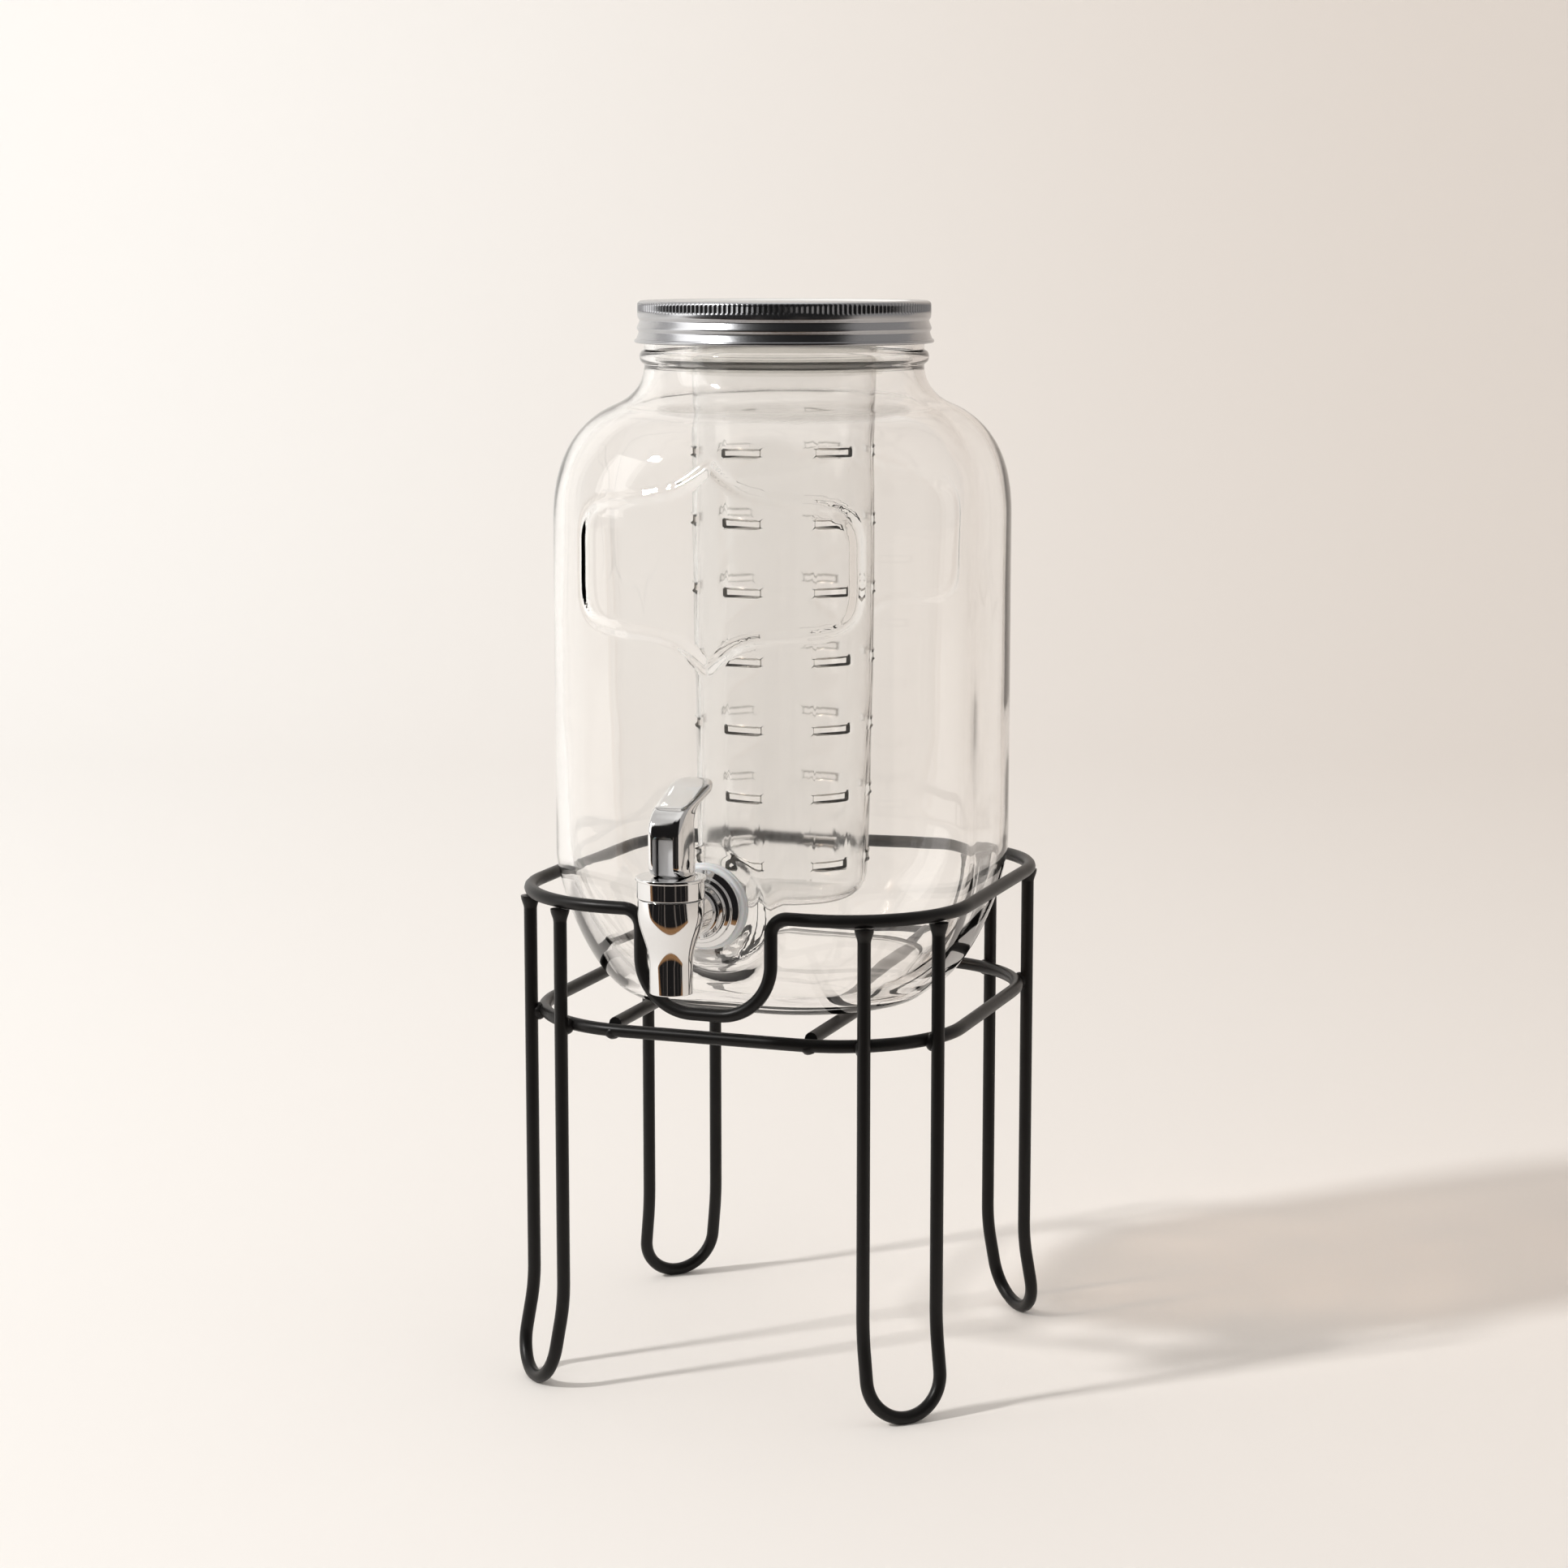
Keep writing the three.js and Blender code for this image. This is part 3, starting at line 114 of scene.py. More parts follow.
class NodeBoard:
    """The nodes of one material or world, with short ways to add and join them."""

    def __init__(self, tree: bpy.types.NodeTree) -> None:
        """Starts from an empty tree."""
        self.tree = tree
        self.tree.nodes.clear()

    def add(self, kind: str, inputs: dict | None = None, **settings) -> bpy.types.Node:
        """Adds a node.

        Args:
            kind: Blender's name of the node type.
            inputs: values or output sockets for the node's inputs, by name or number.
            **settings: the node's own properties.

        Returns:
            The new node.
        """
        node = self.tree.nodes.new(kind)
        for name, value in settings.items():
            setattr(node, name, value)
        for name, value in (inputs or {}).items():
            if isinstance(value, Socket):
                self.tree.links.new(value, node.inputs[name])
            else:
                node.inputs[name].default_value = value
        return node

    def maths(self, operation: str, *values: float | Socket) -> Socket:
        """Adds a Math node on up to three values and returns its output."""
        return self.add("ShaderNodeMath", dict(enumerate(values)), operation=operation).outputs[0]

    def noise(self, place: Socket, scale: float, detail: float = 2.0) -> Socket:
        """Adds a noise field and returns its value from 0 to 1."""
        inputs = {"Vector": place, "Scale": scale, "Detail": detail}
        return self.add("ShaderNodeTexNoise", inputs).outputs[0]

    def between(self, share: Socket, low: float, high: float) -> Socket:
        """Maps a value from 0 to 1 onto a range and returns the output."""
        return self.ramp(share, 0.0, 1.0, low, high)

    def ramp(
        self, value: Socket, start: float, end: float, low: float = 0.0, high: float = 1.0,
        smooth: bool = False,
    ) -> Socket:
        """Maps a value between two others onto a range.

        Args:
            value: the value.
            start: where the range starts. It may lie above end.
            end: where the range ends.
            low: the output at the start and before it.
            high: the output at the end and past it.
            smooth: whether the output eases in and out.

        Returns:
            The output.
        """
        inputs = {"Value": value, "From Min": start, "From Max": end, "To Min": low, "To Max": high}
        shape = "SMOOTHSTEP" if smooth else "LINEAR"
        return self.add("ShaderNodeMapRange", inputs, interpolation_type=shape).outputs[0]

    def blend(self, share: Socket, first: Colour | Socket, second: Colour | Socket) -> Socket:
        """Mixes two colours by a share and returns the colour output."""
        inputs = {0: share}
        for place, colour in ((6, first), (7, second)):
            inputs[place] = (*colour, 1.0) if isinstance(colour, tuple) else colour
        return self.add("ShaderNodeMix", inputs, data_type="RGBA").outputs[2]

    def bump(self, height: Socket, strength: float, depth_mm: float) -> Socket:
        """Adds a bump of a depth in millimetres and returns the normal output."""
        inputs = {"Strength": strength, "Distance": depth_mm * MM, "Height": height}
        return self.add("ShaderNodeBump", inputs).outputs[0]

    def product(self, *values: Socket) -> Socket:
        """Multiplies values one after another and returns the output."""
        result = values[0]
        for value in values[1:]:
            result = self.maths("MULTIPLY", result, value)
        return result

    def object_place(self) -> Socket:
        """Returns the place on the object, in metres."""
        return self.add("ShaderNodeTexCoord").outputs["Object"]


@dataclass(frozen=True)
class Finish:
    """A named finish that paints a material and knows its slot in the record."""

    name: str
    slot: Slot

    def material(self) -> bpy.types.Material:
        """Returns the finish's material, made on first use."""
        made = bpy.data.materials.get(self.name)
        if made is None:
            made = bpy.data.materials.new(self.name)
            made.use_nodes = True
            board = NodeBoard(made.node_tree)
            output = board.add("ShaderNodeOutputMaterial")
            made.node_tree.links.new(self.shader(board), output.inputs["Surface"])
        return made

    def shader(self, board: NodeBoard) -> Socket:
        """Builds the shader on a board and returns its output."""
        raise NotImplementedError


@dataclass(frozen=True)
class PowderCoat(Finish):
    """Black powder coat: a fine orange-peel skin with a soft sheen that varies a little."""

    colour: Colour = (0.0055, 0.005, 0.0048)
    lighter: Colour = (0.0085, 0.0078, 0.0074)
    smooth: float = 0.3
    rough: float = 0.42
    sheen: float = 0.22
    peel_scale: float = 1300.0
    peel_depth_mm: float = 0.05
    cloud_scale: float = 45.0

    def shader(self, board: NodeBoard) -> Socket:
        """Builds the shader and returns its output."""
        place = board.object_place()
        peel = board.noise(place, self.peel_scale, 3.0)
        cloud = board.noise(place, self.cloud_scale)
        inputs = {
            "Base Color": board.blend(cloud, self.colour, self.lighter),
            "Roughness": board.between(peel, self.smooth, self.rough),
            "Specular IOR Level": self.sheen,
            "Normal": board.bump(peel, 0.25, self.peel_depth_mm),
        }
        return board.add("ShaderNodeBsdfPrincipled", inputs).outputs[0]


@dataclass(frozen=True)
class ClearBody(Finish):
    """A clear body that light passes into: glass or moulded plastic, a little uneven."""

    tint: Colour = (0.994, 0.991, 0.985)
    refraction: float = 1.5
    roughness: float = 0.0
    wave_scale: float = 28.0
    wave_depth_mm: float = 0.5
    shade_middle: Colour = (0.82, 0.765, 0.71)
    shade_edge: Colour = (0.32, 0.26, 0.21)
    patch_scale: float = 24.0
    patch_start: float = 0.42
    patch_end: float = 0.62
    patch_share: float = 0.6

    def shader(self, board: NodeBoard) -> Socket:
        """Builds the shader, with a tinted clear shadow, and returns its output."""
        place = board.object_place()
        wave = board.noise(place, self.wave_scale, 1.0)
        inputs = {
            "Base Color": (*self.tint, 1.0),
            "Roughness": self.roughness,
            "IOR": self.refraction,
            "Transmission Weight": 1.0,
            "Normal": board.bump(wave, 0.5, self.wave_depth_mm),
        }
        body = board.add("ShaderNodeBsdfPrincipled", inputs)
        edge = board.add("ShaderNodeLayerWeight", {"Blend": 0.5}).outputs["Facing"]
        edge_share = board.maths("POWER", edge, 2.0)
        cloud = board.noise(place, self.patch_scale, 1.0)
        patch = board.ramp(cloud, self.patch_start, self.patch_end, 0.0, self.patch_share)
        shade = board.blend(board.maths("MAXIMUM", edge_share, patch), self.shade_middle, self.shade_edge)
        clear = board.add("ShaderNodeBsdfTransparent", {"Color": shade})
        is_shadow = board.add("ShaderNodeLightPath").outputs["Is Shadow Ray"]
        inputs = {0: is_shadow, 1: body.outputs[0], 2: clear.outputs[0]}
        return board.add("ShaderNodeMixShader", inputs).outputs[0]


@dataclass(frozen=True)
class ThinClear(Finish):
    """A thin, faintly hazy moulding that hardly bends light, with a sheen that grows towards its edges."""

    tint: Colour = (0.97, 0.97, 0.965)
    haze: Colour = (0.86, 0.86, 0.85)
    haze_share: float = 0.16
    sheen_share: float = 0.3
    least_sheen: float = 0.03
    sheen_roughness: float = 0.08
    ripple_scale: float = 300.0
    ripple_depth_mm: float = 0.1

    def shader(self, board: NodeBoard) -> Socket:
        """Builds the shader and returns its output."""
        place = board.object_place()
        ripple = board.noise(place, self.ripple_scale, 3.0)
        normal = board.bump(ripple, 0.4, self.ripple_depth_mm)
        clear = board.add("ShaderNodeBsdfTransparent", {"Color": (*self.tint, 1.0)}).outputs[0]
        inputs = {"Color": (*self.haze, 1.0), "Normal": normal}
        cloud = board.add("ShaderNodeBsdfTranslucent", inputs).outputs[0]
        share = board.between(ripple, 0.5 * self.haze_share, 1.5 * self.haze_share)
        body = board.add("ShaderNodeMixShader", {0: share, 1: clear, 2: cloud}).outputs[0]
        facing = board.add("ShaderNodeLayerWeight", {"Blend": 0.3, "Normal": normal}).outputs["Facing"]
        inputs = {"Roughness": self.sheen_roughness, "Normal": normal}
        sheen = board.add("ShaderNodeBsdfGlossy", inputs).outputs[0]
        edge = board.between(board.maths("POWER", facing, 3.0), self.least_sheen, self.sheen_share)
        return board.add("ShaderNodeMixShader", {0: edge, 1: body, 2: sheen}).outputs[0]


@dataclass(frozen=True)
class PolishedMetal(Finish):
    """Plated or rolled metal: fine grain in its sheen, a faint unevenness in its skin, and painted shade in
    its grooves.
    """

    colour: Colour = (0.8, 0.8, 0.8)
    darker: Colour = (0.76, 0.76, 0.76)
    smooth: float = 0.04
    rough: float = 0.09
    grain_scale: float = 600.0
    grain_depth_mm: float = 0.004
    wave_scale: float = 90.0
    wave_depth_mm: float = 0.03
    painted_groove_shade: Colour = (0.1, 0.1, 0.105)

    def shader(self, board: NodeBoard) -> Socket:
        """Builds the shader and returns its output."""
        place = board.object_place()
        grain = board.noise(place, self.grain_scale, 4.0)
        wave = board.noise(place, self.wave_scale, 1.0)
        waved = board.add("ShaderNodeBump", {
            "Strength": 0.5, "Distance": self.wave_depth_mm * MM, "Height": wave,
        }).outputs[0]
        bumped = board.add("ShaderNodeBump", {
            "Strength": 0.6, "Distance": self.grain_depth_mm * MM, "Height": grain, "Normal": waved,
        }).outputs[0]
        skin = board.blend(grain, self.darker, self.colour)
        # Painted shade: the metal is painted darker towards this colour where the knurl presses deepest.
        depth = board.add("ShaderNodeAttribute", attribute_name=PAINTED_GROOVE_SHADE).outputs["Fac"]
        inputs = {
            "Base Color": board.blend(depth, skin, self.painted_groove_shade),
            "Metallic": 1.0,
            "Roughness": board.between(grain, self.smooth, self.rough),
            "Normal": bumped,
        }
        return board.add("ShaderNodeBsdfPrincipled", inputs).outputs[0]


@dataclass(frozen=True)
class MouldedPlastic(Finish):
    """Opaque or milky moulded plastic or silicone with a fine satin skin."""

    colour: Colour = (0.42, 0.42, 0.43)
    lighter: Colour = (0.48, 0.48, 0.49)
    smooth: float = 0.35
    rough: float = 0.5
    milky: float = 0.0
    scatter_mm: float = 3.0
    grain_scale: float = 900.0
    grain_depth_mm: float = 0.02
    cloud_scale: float = 80.0

    def shader(self, board: NodeBoard) -> Socket:
        """Builds the shader and returns its output."""
        place = board.object_place()
        grain = board.noise(place, self.grain_scale, 3.0)
        cloud = board.noise(place, self.cloud_scale)
        inputs = {
            "Base Color": board.blend(cloud, self.colour, self.lighter),
            "Roughness": board.between(grain, self.smooth, self.rough),
            "Transmission Weight": self.milky,
            "Subsurface Weight": self.milky,
            "Subsurface Scale": self.scatter_mm * MM,
            "Normal": board.bump(grain, 0.3, self.grain_depth_mm),
        }
        return board.add("ShaderNodeBsdfPrincipled", inputs).outputs[0]


def room_colour(board: NodeBoard) -> Socket:
    """Returns the colour of the room in front: dark in metal, softer where glass lies between."""
    passed = board.add("ShaderNodeLightPath").outputs["Transmission Depth"]
    return board.blend(board.maths("MINIMUM", passed, 1.0), DARK_ROOM, ROOM_BEHIND_GLASS)


@dataclass(frozen=True)
class PaperSweep(Finish):
    """Seamless cream paper, paler on the left and warmer on the right: painted light, darker where the
    lamp's light falls off.

    Polished surfaces see it end just in front of the dispenser, where a painted reflection of a wooden table
    edge and a dark room with paler streaks glows. Angles count from the camera's side and grow to the right.
    """

    # Painted light: the paper is paler on the left and darker and warmer on the right, where the lamp's
    # light falls off.
    left: Colour = (0.925, 0.91, 0.89)
    right: Colour = (0.795, 0.735, 0.685)
    spread: float = 1.0
    fibre_scale: float = 400.0
    fibre_depth_mm: float = 0.05
    paper_end: float = 0.3
    wood_end: float = 0.38
    wood_softness: float = 0.03
    room_edge: float = 1.0
    room_inner_edge: float = 0.9
    wood: Colour = (0.3, 0.16, 0.075)
    streak: Colour = (0.2, 0.17, 0.15)
    streak_scale: float = 7.0
    streak_start: float = 0.56
    streak_end: float = 0.66

    def shader(self, board: NodeBoard) -> Socket:
        """Builds the shader and returns its output."""
        place = board.object_place()
        rotation = (0.0, 0.0, -Viewpoint.azimuth)
        turned = board.add("ShaderNodeMapping", {"Vector": place, "Rotation": rotation}).outputs[0]
        across, behind, _ = board.add("ShaderNodeSeparateXYZ", {0: turned}).outputs
        paper = self.paper(board, place, across)
        ahead = board.maths("MULTIPLY", behind, -1.0)
        turn = board.maths("ARCTAN2", across, ahead)
        before_right = board.ramp(turn, self.room_edge, self.room_inner_edge, smooth=True)
        past_paper = board.product(board.maths("GREATER_THAN", ahead, self.paper_end), before_right)
        wood_edge = (self.wood_end - self.wood_softness, self.wood_end + self.wood_softness)
        past_wood = board.ramp(ahead, *wood_edge)
        swept = board.add("ShaderNodeCombineXYZ", {0: turn}).outputs[0]
        streaks = board.ramp(board.noise(swept, self.streak_scale), self.streak_start, self.streak_end)
        room = board.blend(streaks, room_colour(board), self.streak)
        painted_reflection_colour = board.blend(past_wood, self.wood, room)
        # Painted reflection: past the paper's end, only glossy rays see the sweep glow in this colour; other
        # rays see paper.
        dark = board.add("ShaderNodeEmission", {"Color": painted_reflection_colour}).outputs[0]
        mirrored = board.add("ShaderNodeLightPath").outputs["Is Glossy Ray"]
        inputs = {0: board.product(mirrored, past_paper), 1: paper, 2: dark}
        return board.add("ShaderNodeMixShader", inputs).outputs[0]

    def paper(self, board: NodeBoard, place: Socket, across: Socket) -> Socket:
        """Builds the paper itself, its colour changing across the picture as painted light, and returns its
        shader.
        """
        # Painted light falloff across the paper, from the lit left to the darker right.
        share = board.ramp(across, -self.spread, self.spread, smooth=True)
        fibre = board.noise(place, self.fibre_scale, 4.0)
        inputs = {
            "Base Color": board.blend(share, self.left, self.right),
            "Roughness": 0.85,
            "Specular IOR Level": 0.15,
            "Normal": board.bump(fibre, 0.05, self.fibre_depth_mm),
        }
        return board.add("ShaderNodeBsdfPrincipled", inputs).outputs[0]


BLACK_COAT = PowderCoat("black_powder_coat", Slot.BLACK_WIRE)
PRESSED_GLASS = ClearBody("pressed_glass", Slot.CLEAR_GLASS)
CLEAR_MOULDING = ClearBody(
    "clear_moulding", Slot.CLEAR_PLASTIC, tint=(0.99, 0.991, 0.989), refraction=1.42, roughness=0.08,
    wave_scale=60.0, wave_depth_mm=0.25, shade_middle=(0.92, 0.89, 0.86), shade_edge=(0.6, 0.55, 0.5),
)
THIN_MOULDING = ThinClear(
    "thin_moulding", Slot.CLEAR_PLASTIC, tint=(0.985, 0.983, 0.975), haze_share=0.05, sheen_share=0.1,
)
# Painted shade: the slot walls are tinted to half brightness, standing in for the grey look of light bending
# through them; their haze is faint.
SLOT_WALL_SHADE = ThinClear(
    "hazy_slot_wall_shade", Slot.CLEAR_PLASTIC, tint=(0.5, 0.49, 0.47), haze=(0.6, 0.59, 0.57), haze_share=0.2,
    sheen_share=0.05,
)
TINNED_SHEET = PolishedMetal(
    "tinned_sheet", Slot.TINNED_STEEL, colour=(0.5, 0.507, 0.525), darker=(0.44, 0.447, 0.465),
    smooth=0.2, rough=0.27, grain_scale=1500.0, grain_depth_mm=0.006, wave_depth_mm=0.05,
)
BRIGHT_CHROME = PolishedMetal("bright_chrome", Slot.CHROME)
DRAWN_STEEL = PolishedMetal(
    "drawn_steel", Slot.SPRING_STEEL, colour=(0.58, 0.58, 0.59), darker=(0.5, 0.5, 0.51),
    smooth=0.2, rough=0.35,
)
SATIN_GREY = MouldedPlastic(
    "satin_grey_plastic", Slot.GREY_PLASTIC, colour=(0.55, 0.55, 0.56), lighter=(0.62, 0.62, 0.63),
)
PALE_LACQUER = MouldedPlastic(
    "pale_lacquer", Slot.TINNED_STEEL, colour=(0.78, 0.77, 0.74), lighter=(0.84, 0.83, 0.81),
)
MILKY_SILICONE = MouldedPlastic(
    "milky_silicone", Slot.SILICONE, colour=(0.78, 0.8, 0.82), lighter=(0.84, 0.85, 0.86),
    smooth=0.3, rough=0.42, milky=0.2,
)
CREAM_PAPER = PaperSweep("cream_paper", Slot.CLEAR_GLASS)


# Ways of making shapes

def arc(centre: Point, radius: float, start: float, end: float, steps: int) -> list[Point]:
    """Returns points along a circular arc.

    Args:
        centre: the arc's centre.
        radius: its radius.
        start: the first angle, in radians.
        end: the last angle.
        steps: how many steps the arc takes.

    Returns:
        The points, both ends among them.
    """
    angles = [start + (end - start) * i / steps for i in range(steps + 1)]
    return [(centre[0] + radius * math.cos(a), centre[1] + radius * math.sin(a)) for a in angles]


def eased(corners: Sequence[tuple[float, float, float]], closed: bool = True, steps: int = 4) -> list[Point]:
    """Rounds the corners of an outline.

    Args:
        corners: each corner's two coordinates and its rounding radius.
        closed: whether the last corner joins the first.
        steps: how many steps each rounding takes.

    Returns:
        The outline's points.
    """
    points: list[Point] = []
    count = len(corners)
    for i, (x, y, radius) in enumerate(corners):
        here = Vector((x, y))
        if radius <= 0 or (not closed and i in (0, count - 1)):
            points.append((x, y))
            continue
        before = Vector(corners[i - 1][:2]) - here
        after = Vector(corners[(i + 1) % count][:2]) - here
        turn = before.angle(after)
        cut = min(radius / math.tan(turn / 2), before.length * MOST_EASED, after.length * MOST_EASED)
        first = here + before.normalized() * cut
        last = here + after.normalized() * cut
        for step in range(steps + 1):
            share = step / steps
            mixed = first * (1 - share) ** 2 + here * 2 * share * (1 - share) + last * share ** 2
            points.append((mixed.x, mixed.y))
    return points


def soft_step(share: float) -> float:
    """Returns a share from 0 to 1 eased at both ends."""
    return share * share * (3 - 2 * share)


def within(value: float, low: float = 0.0, high: float = 1.0) -> float:
    """Returns a value kept between two limits."""
    return max(low, min(high, value))


def smooth_line(points: Sequence[Sequence[float]], steps: int) -> list[Vector]:
    """Draws a smooth line through points.

    Args:
        points: the points, of any number of coordinates.
        steps: how many steps lie between one point and the next.

    Returns:
        The line's points, the given ones among them.
    """
    knots = [Vector(p) for p in points]
    knots = [knots[0] * 2 - knots[1], *knots, knots[-1] * 2 - knots[-2]]
    line = []
    for i in range(1, len(knots) - 2):
        a, b, c, d = knots[i - 1:i + 3]
        for step in range(steps):
            t = step / steps
            line.append(0.5 * (2 * b + (c - a) * t + (2 * a - 5 * b + 4 * c - d) * t ** 2
                               + (3 * b - a - 3 * c + d) * t ** 3))
    line.append(knots[-2])
    return line


def turn_outline(bm: Mesh, outline: Sequence[Point], steps: int, facing: Facing = Facing.UP) -> None:
    """Turns an outline of [radius, height] points into a closed round shape.

    Args:
        bm: the mesh that the shape is added to.
        outline: the outline, closed, or open from axis to axis.
        steps: how many steps go round.
        facing: where the axis points. Heights run towards -Y where it is forward.
    """
    on_axis = outline[0][0] == 0 and outline[-1][0] == 0
    verts = [bm.verts.new((radius, 0.0, height)) for radius, height in outline]
    pairs = list(zip(verts, verts[1:]))
    if not on_axis:
        pairs.append((verts[-1], verts[0]))
    edges = [bm.edges.new(pair) for pair in pairs]
    bmesh.ops.spin(
        bm, geom=[*verts, *edges], cent=(0, 0, 0), axis=(0, 0, 1), dvec=(0, 0, 0),
        angle=FULL_TURN, steps=steps, use_merge=True, use_normal_flip=False, use_duplicate=False,
    )
    made = [v for v in bm.verts if not v.tag]
    bmesh.ops.remove_doubles(bm, verts=made, dist=MERGE_WITHIN)
    made = [v for v in bm.verts if not v.tag]
    if facing is Facing.FORWARD:
        bmesh.ops.rotate(bm, verts=made, cent=(0, 0, 0), matrix=Matrix.Rotation(QUARTER_TURN, 3, "X"))
    for vert in made:
        vert.tag = True


class RingSkin:
    """A skin drawn through rings of points, one extrusion for each ring."""

    def __init__(self, bm: Mesh, first: Sequence[Vector]) -> None:
        """Starts the skin on its first ring."""
        self.bm = bm
        made = bmesh.ops.create_circle(bm, cap_ends=False, cap_tris=False, radius=1.0, segments=len(first))
        self.ring = made["verts"]
        self.edges = list({edge for vert in self.ring for edge in vert.link_edges})
        self.place(first)

    def place(self, points: Sequence[Vector]) -> None:
        """Moves the newest ring onto its points."""
        for vert, point in zip(self.ring, points):
            vert.co = point

    def grow(self, points: Sequence[Vector]) -> None:
        """Extrudes the newest ring and moves the new one onto its points."""
        order = {vert: i for i, vert in enumerate(self.ring)}
        made = bmesh.ops.extrude_edge_only(self.bm, edges=self.edges)["geom"]
        fresh = {item for item in made if isinstance(item, bmesh.types.BMVert)}
        ring = [None] * len(order)
        for vert in fresh:
            for edge in vert.link_edges:
                source = edge.other_vert(vert)
                if source in order:
                    ring[order[source]] = vert
        self.ring = ring
        self.edges = [
            item for item in made
            if isinstance(item, bmesh.types.BMEdge) and item.verts[0] in fresh and item.verts[1] in fresh
        ]
        self.place(points)

    def close(self) -> None:
        """Fills the newest ring with one face."""
        bmesh.ops.contextual_create(self.bm, geom=self.edges)


def drawn_skin(bm: Mesh, rings: Sequence[Sequence[Vector]]) -> RingSkin:
    """Draws a skin through rings, and returns it with its newest ring still open."""
    skin = RingSkin(bm, rings[0])
    for ring in rings[1:]:
        skin.grow(ring)
    return skin


def finished(
    name: str, bm: Mesh, finish: Finish, carrier: Carrier, nodes: Sequence[str],
    place: Vector, sharp_degrees: float = 40.0,
) -> bpy.types.Object:
    """Turns a mesh in millimetres into a finished piece that rides on its body.

    Args:
        name: the piece's name.
        bm: its mesh, in millimetres about its own point.
        finish: its finish.
        carrier: the body it rides on.
        nodes: the CAD nodes that it stands for.
        place: where its own point lies in the part, in millimetres.
        sharp_degrees: the angle past which an edge stays sharp.

    Returns:
        The piece.
    """
    bmesh.ops.remove_doubles(bm, verts=bm.verts, dist=MERGE_WITHIN)
    bmesh.ops.recalc_face_normals(bm, faces=bm.faces)
    bmesh.ops.transform(bm, matrix=Matrix.Scale(MM, 4) @ Matrix.Translation(place), verts=bm.verts)
    mesh = bpy.data.meshes.new(name)
    bm.to_mesh(mesh)
    bm.free()
    return dressed(name, mesh, finish, carrier, nodes, sharp_degrees)


def dressed(
    name: str, mesh: bpy.types.Mesh, finish: Finish, carrier: Carrier | None, nodes: Sequence[str],
    sharp_degrees: float = 40.0,
) -> bpy.types.Object:
    """Args:
        name: the piece's name.
        mesh: its mesh, in metres in the part's frame.
        finish: its finish.
        carrier: the body it rides on, or None where it rides on no body.
        nodes: the CAD nodes that it stands for.
        sharp_degrees: the angle past which an edge stays sharp.

    Returns:
        The piece.
    """
    mesh.shade_smooth()
    mesh.set_sharp_from_angle(angle=math.radians(sharp_degrees))
    mesh.materials.clear()
    mesh.materials.append(finish.material())
    made = bpy.data.objects.new(name, mesh)
    bpy.context.scene.collection.objects.link(made)
    if carrier:
        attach(made, carrier.value)
    if nodes:
        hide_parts(*nodes)
    LOG.info("%s: %d faces", name, len(mesh.polygons))
    return made


def round_edges(bm: Mesh, edges: Sequence[bmesh.types.BMEdge], size: float, segments: int) -> None:
    """Rounds edges of a mesh to a size in millimetres."""
    bmesh.ops.bevel(
        bm, geom=edges, offset=size, offset_type="OFFSET", segments=segments, profile=0.5,
        affect="EDGES", material=-1,
    )


def cut_away(made: bpy.types.Object, cutter: Mesh, place: Vector) -> None:
    """Cuts a closed shape out of a piece.

    Args:
        made: the piece.
        cutter: the shape, in millimetres about its own point.
        place: where its own point lies in the part, in millimetres.
    """
    bmesh.ops.remove_doubles(cutter, verts=cutter.verts, dist=MERGE_WITHIN)
    bmesh.ops.recalc_face_normals(cutter, faces=cutter.faces)
    bmesh.ops.transform(cutter, matrix=Matrix.Scale(MM, 4) @ Matrix.Translation(place), verts=cutter.verts)
    mesh = bpy.data.meshes.new("cutter")
    cutter.to_mesh(mesh)
    cutter.free()
    tool = bpy.data.objects.new("cutter", mesh)
    bpy.context.scene.collection.objects.link(tool)
    step = made.modifiers.new("cut", "BOOLEAN")
    step.operation = "DIFFERENCE"
    step.solver = "EXACT"
    step.object = tool
    bpy.context.view_layer.update()
    result = bpy.data.meshes.new_from_object(made.evaluated_get(bpy.context.evaluated_depsgraph_get()))
    made.modifiers.remove(step)
    old = made.data
    made.data = result
    bpy.data.objects.remove(tool)
    bpy.data.meshes.remove(mesh)
    bpy.data.meshes.remove(old)


def wire_mesh(places: Sequence[Vector], radius: float, closed: bool) -> bpy.types.Mesh:
    """Draws a round wire.

    Args:
        places: points along its centre line, in millimetres in the part's frame.
        radius: its radius, in millimetres.
        closed: whether it joins its own start.

    Returns:
        The wire's mesh, in metres.
    """
    curve = bpy.data.curves.new("wire", "CURVE")
    curve.dimensions = "3D"
    curve.bevel_depth = radius * MM
    curve.bevel_resolution = 4
    curve.use_fill_caps = not closed
    spline = curve.splines.new("POLY")
    spline.points.add(len(places) - 1)
    for point, place in zip(spline.points, places):
        point.co = (*(place * MM), 1.0)
    spline.use_cyclic_u = closed
    line = bpy.data.objects.new("wire", curve)
    bpy.context.scene.collection.objects.link(line)
    bpy.context.view_layer.update()
    mesh = bpy.data.meshes.new_from_object(line.evaluated_get(bpy.context.evaluated_depsgraph_get()))
    bpy.data.objects.remove(line)
    bpy.data.curves.remove(curve)
    return mesh


def middle(node: str) -> Vector:
    """Returns the middle of a CAD node's box, in millimetres."""
    low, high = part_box(node)
    return (Vector(low) + Vector(high)) / 2 / MM


def top_of(node: str) -> float:
    """Returns the height of a CAD node's top, in millimetres."""
    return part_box(node)[1][2] / MM


def foot_of(node: str) -> float:
    """Returns the height of a CAD node's lowest point, in millimetres."""
    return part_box(node)[0][2] / MM


# The stand

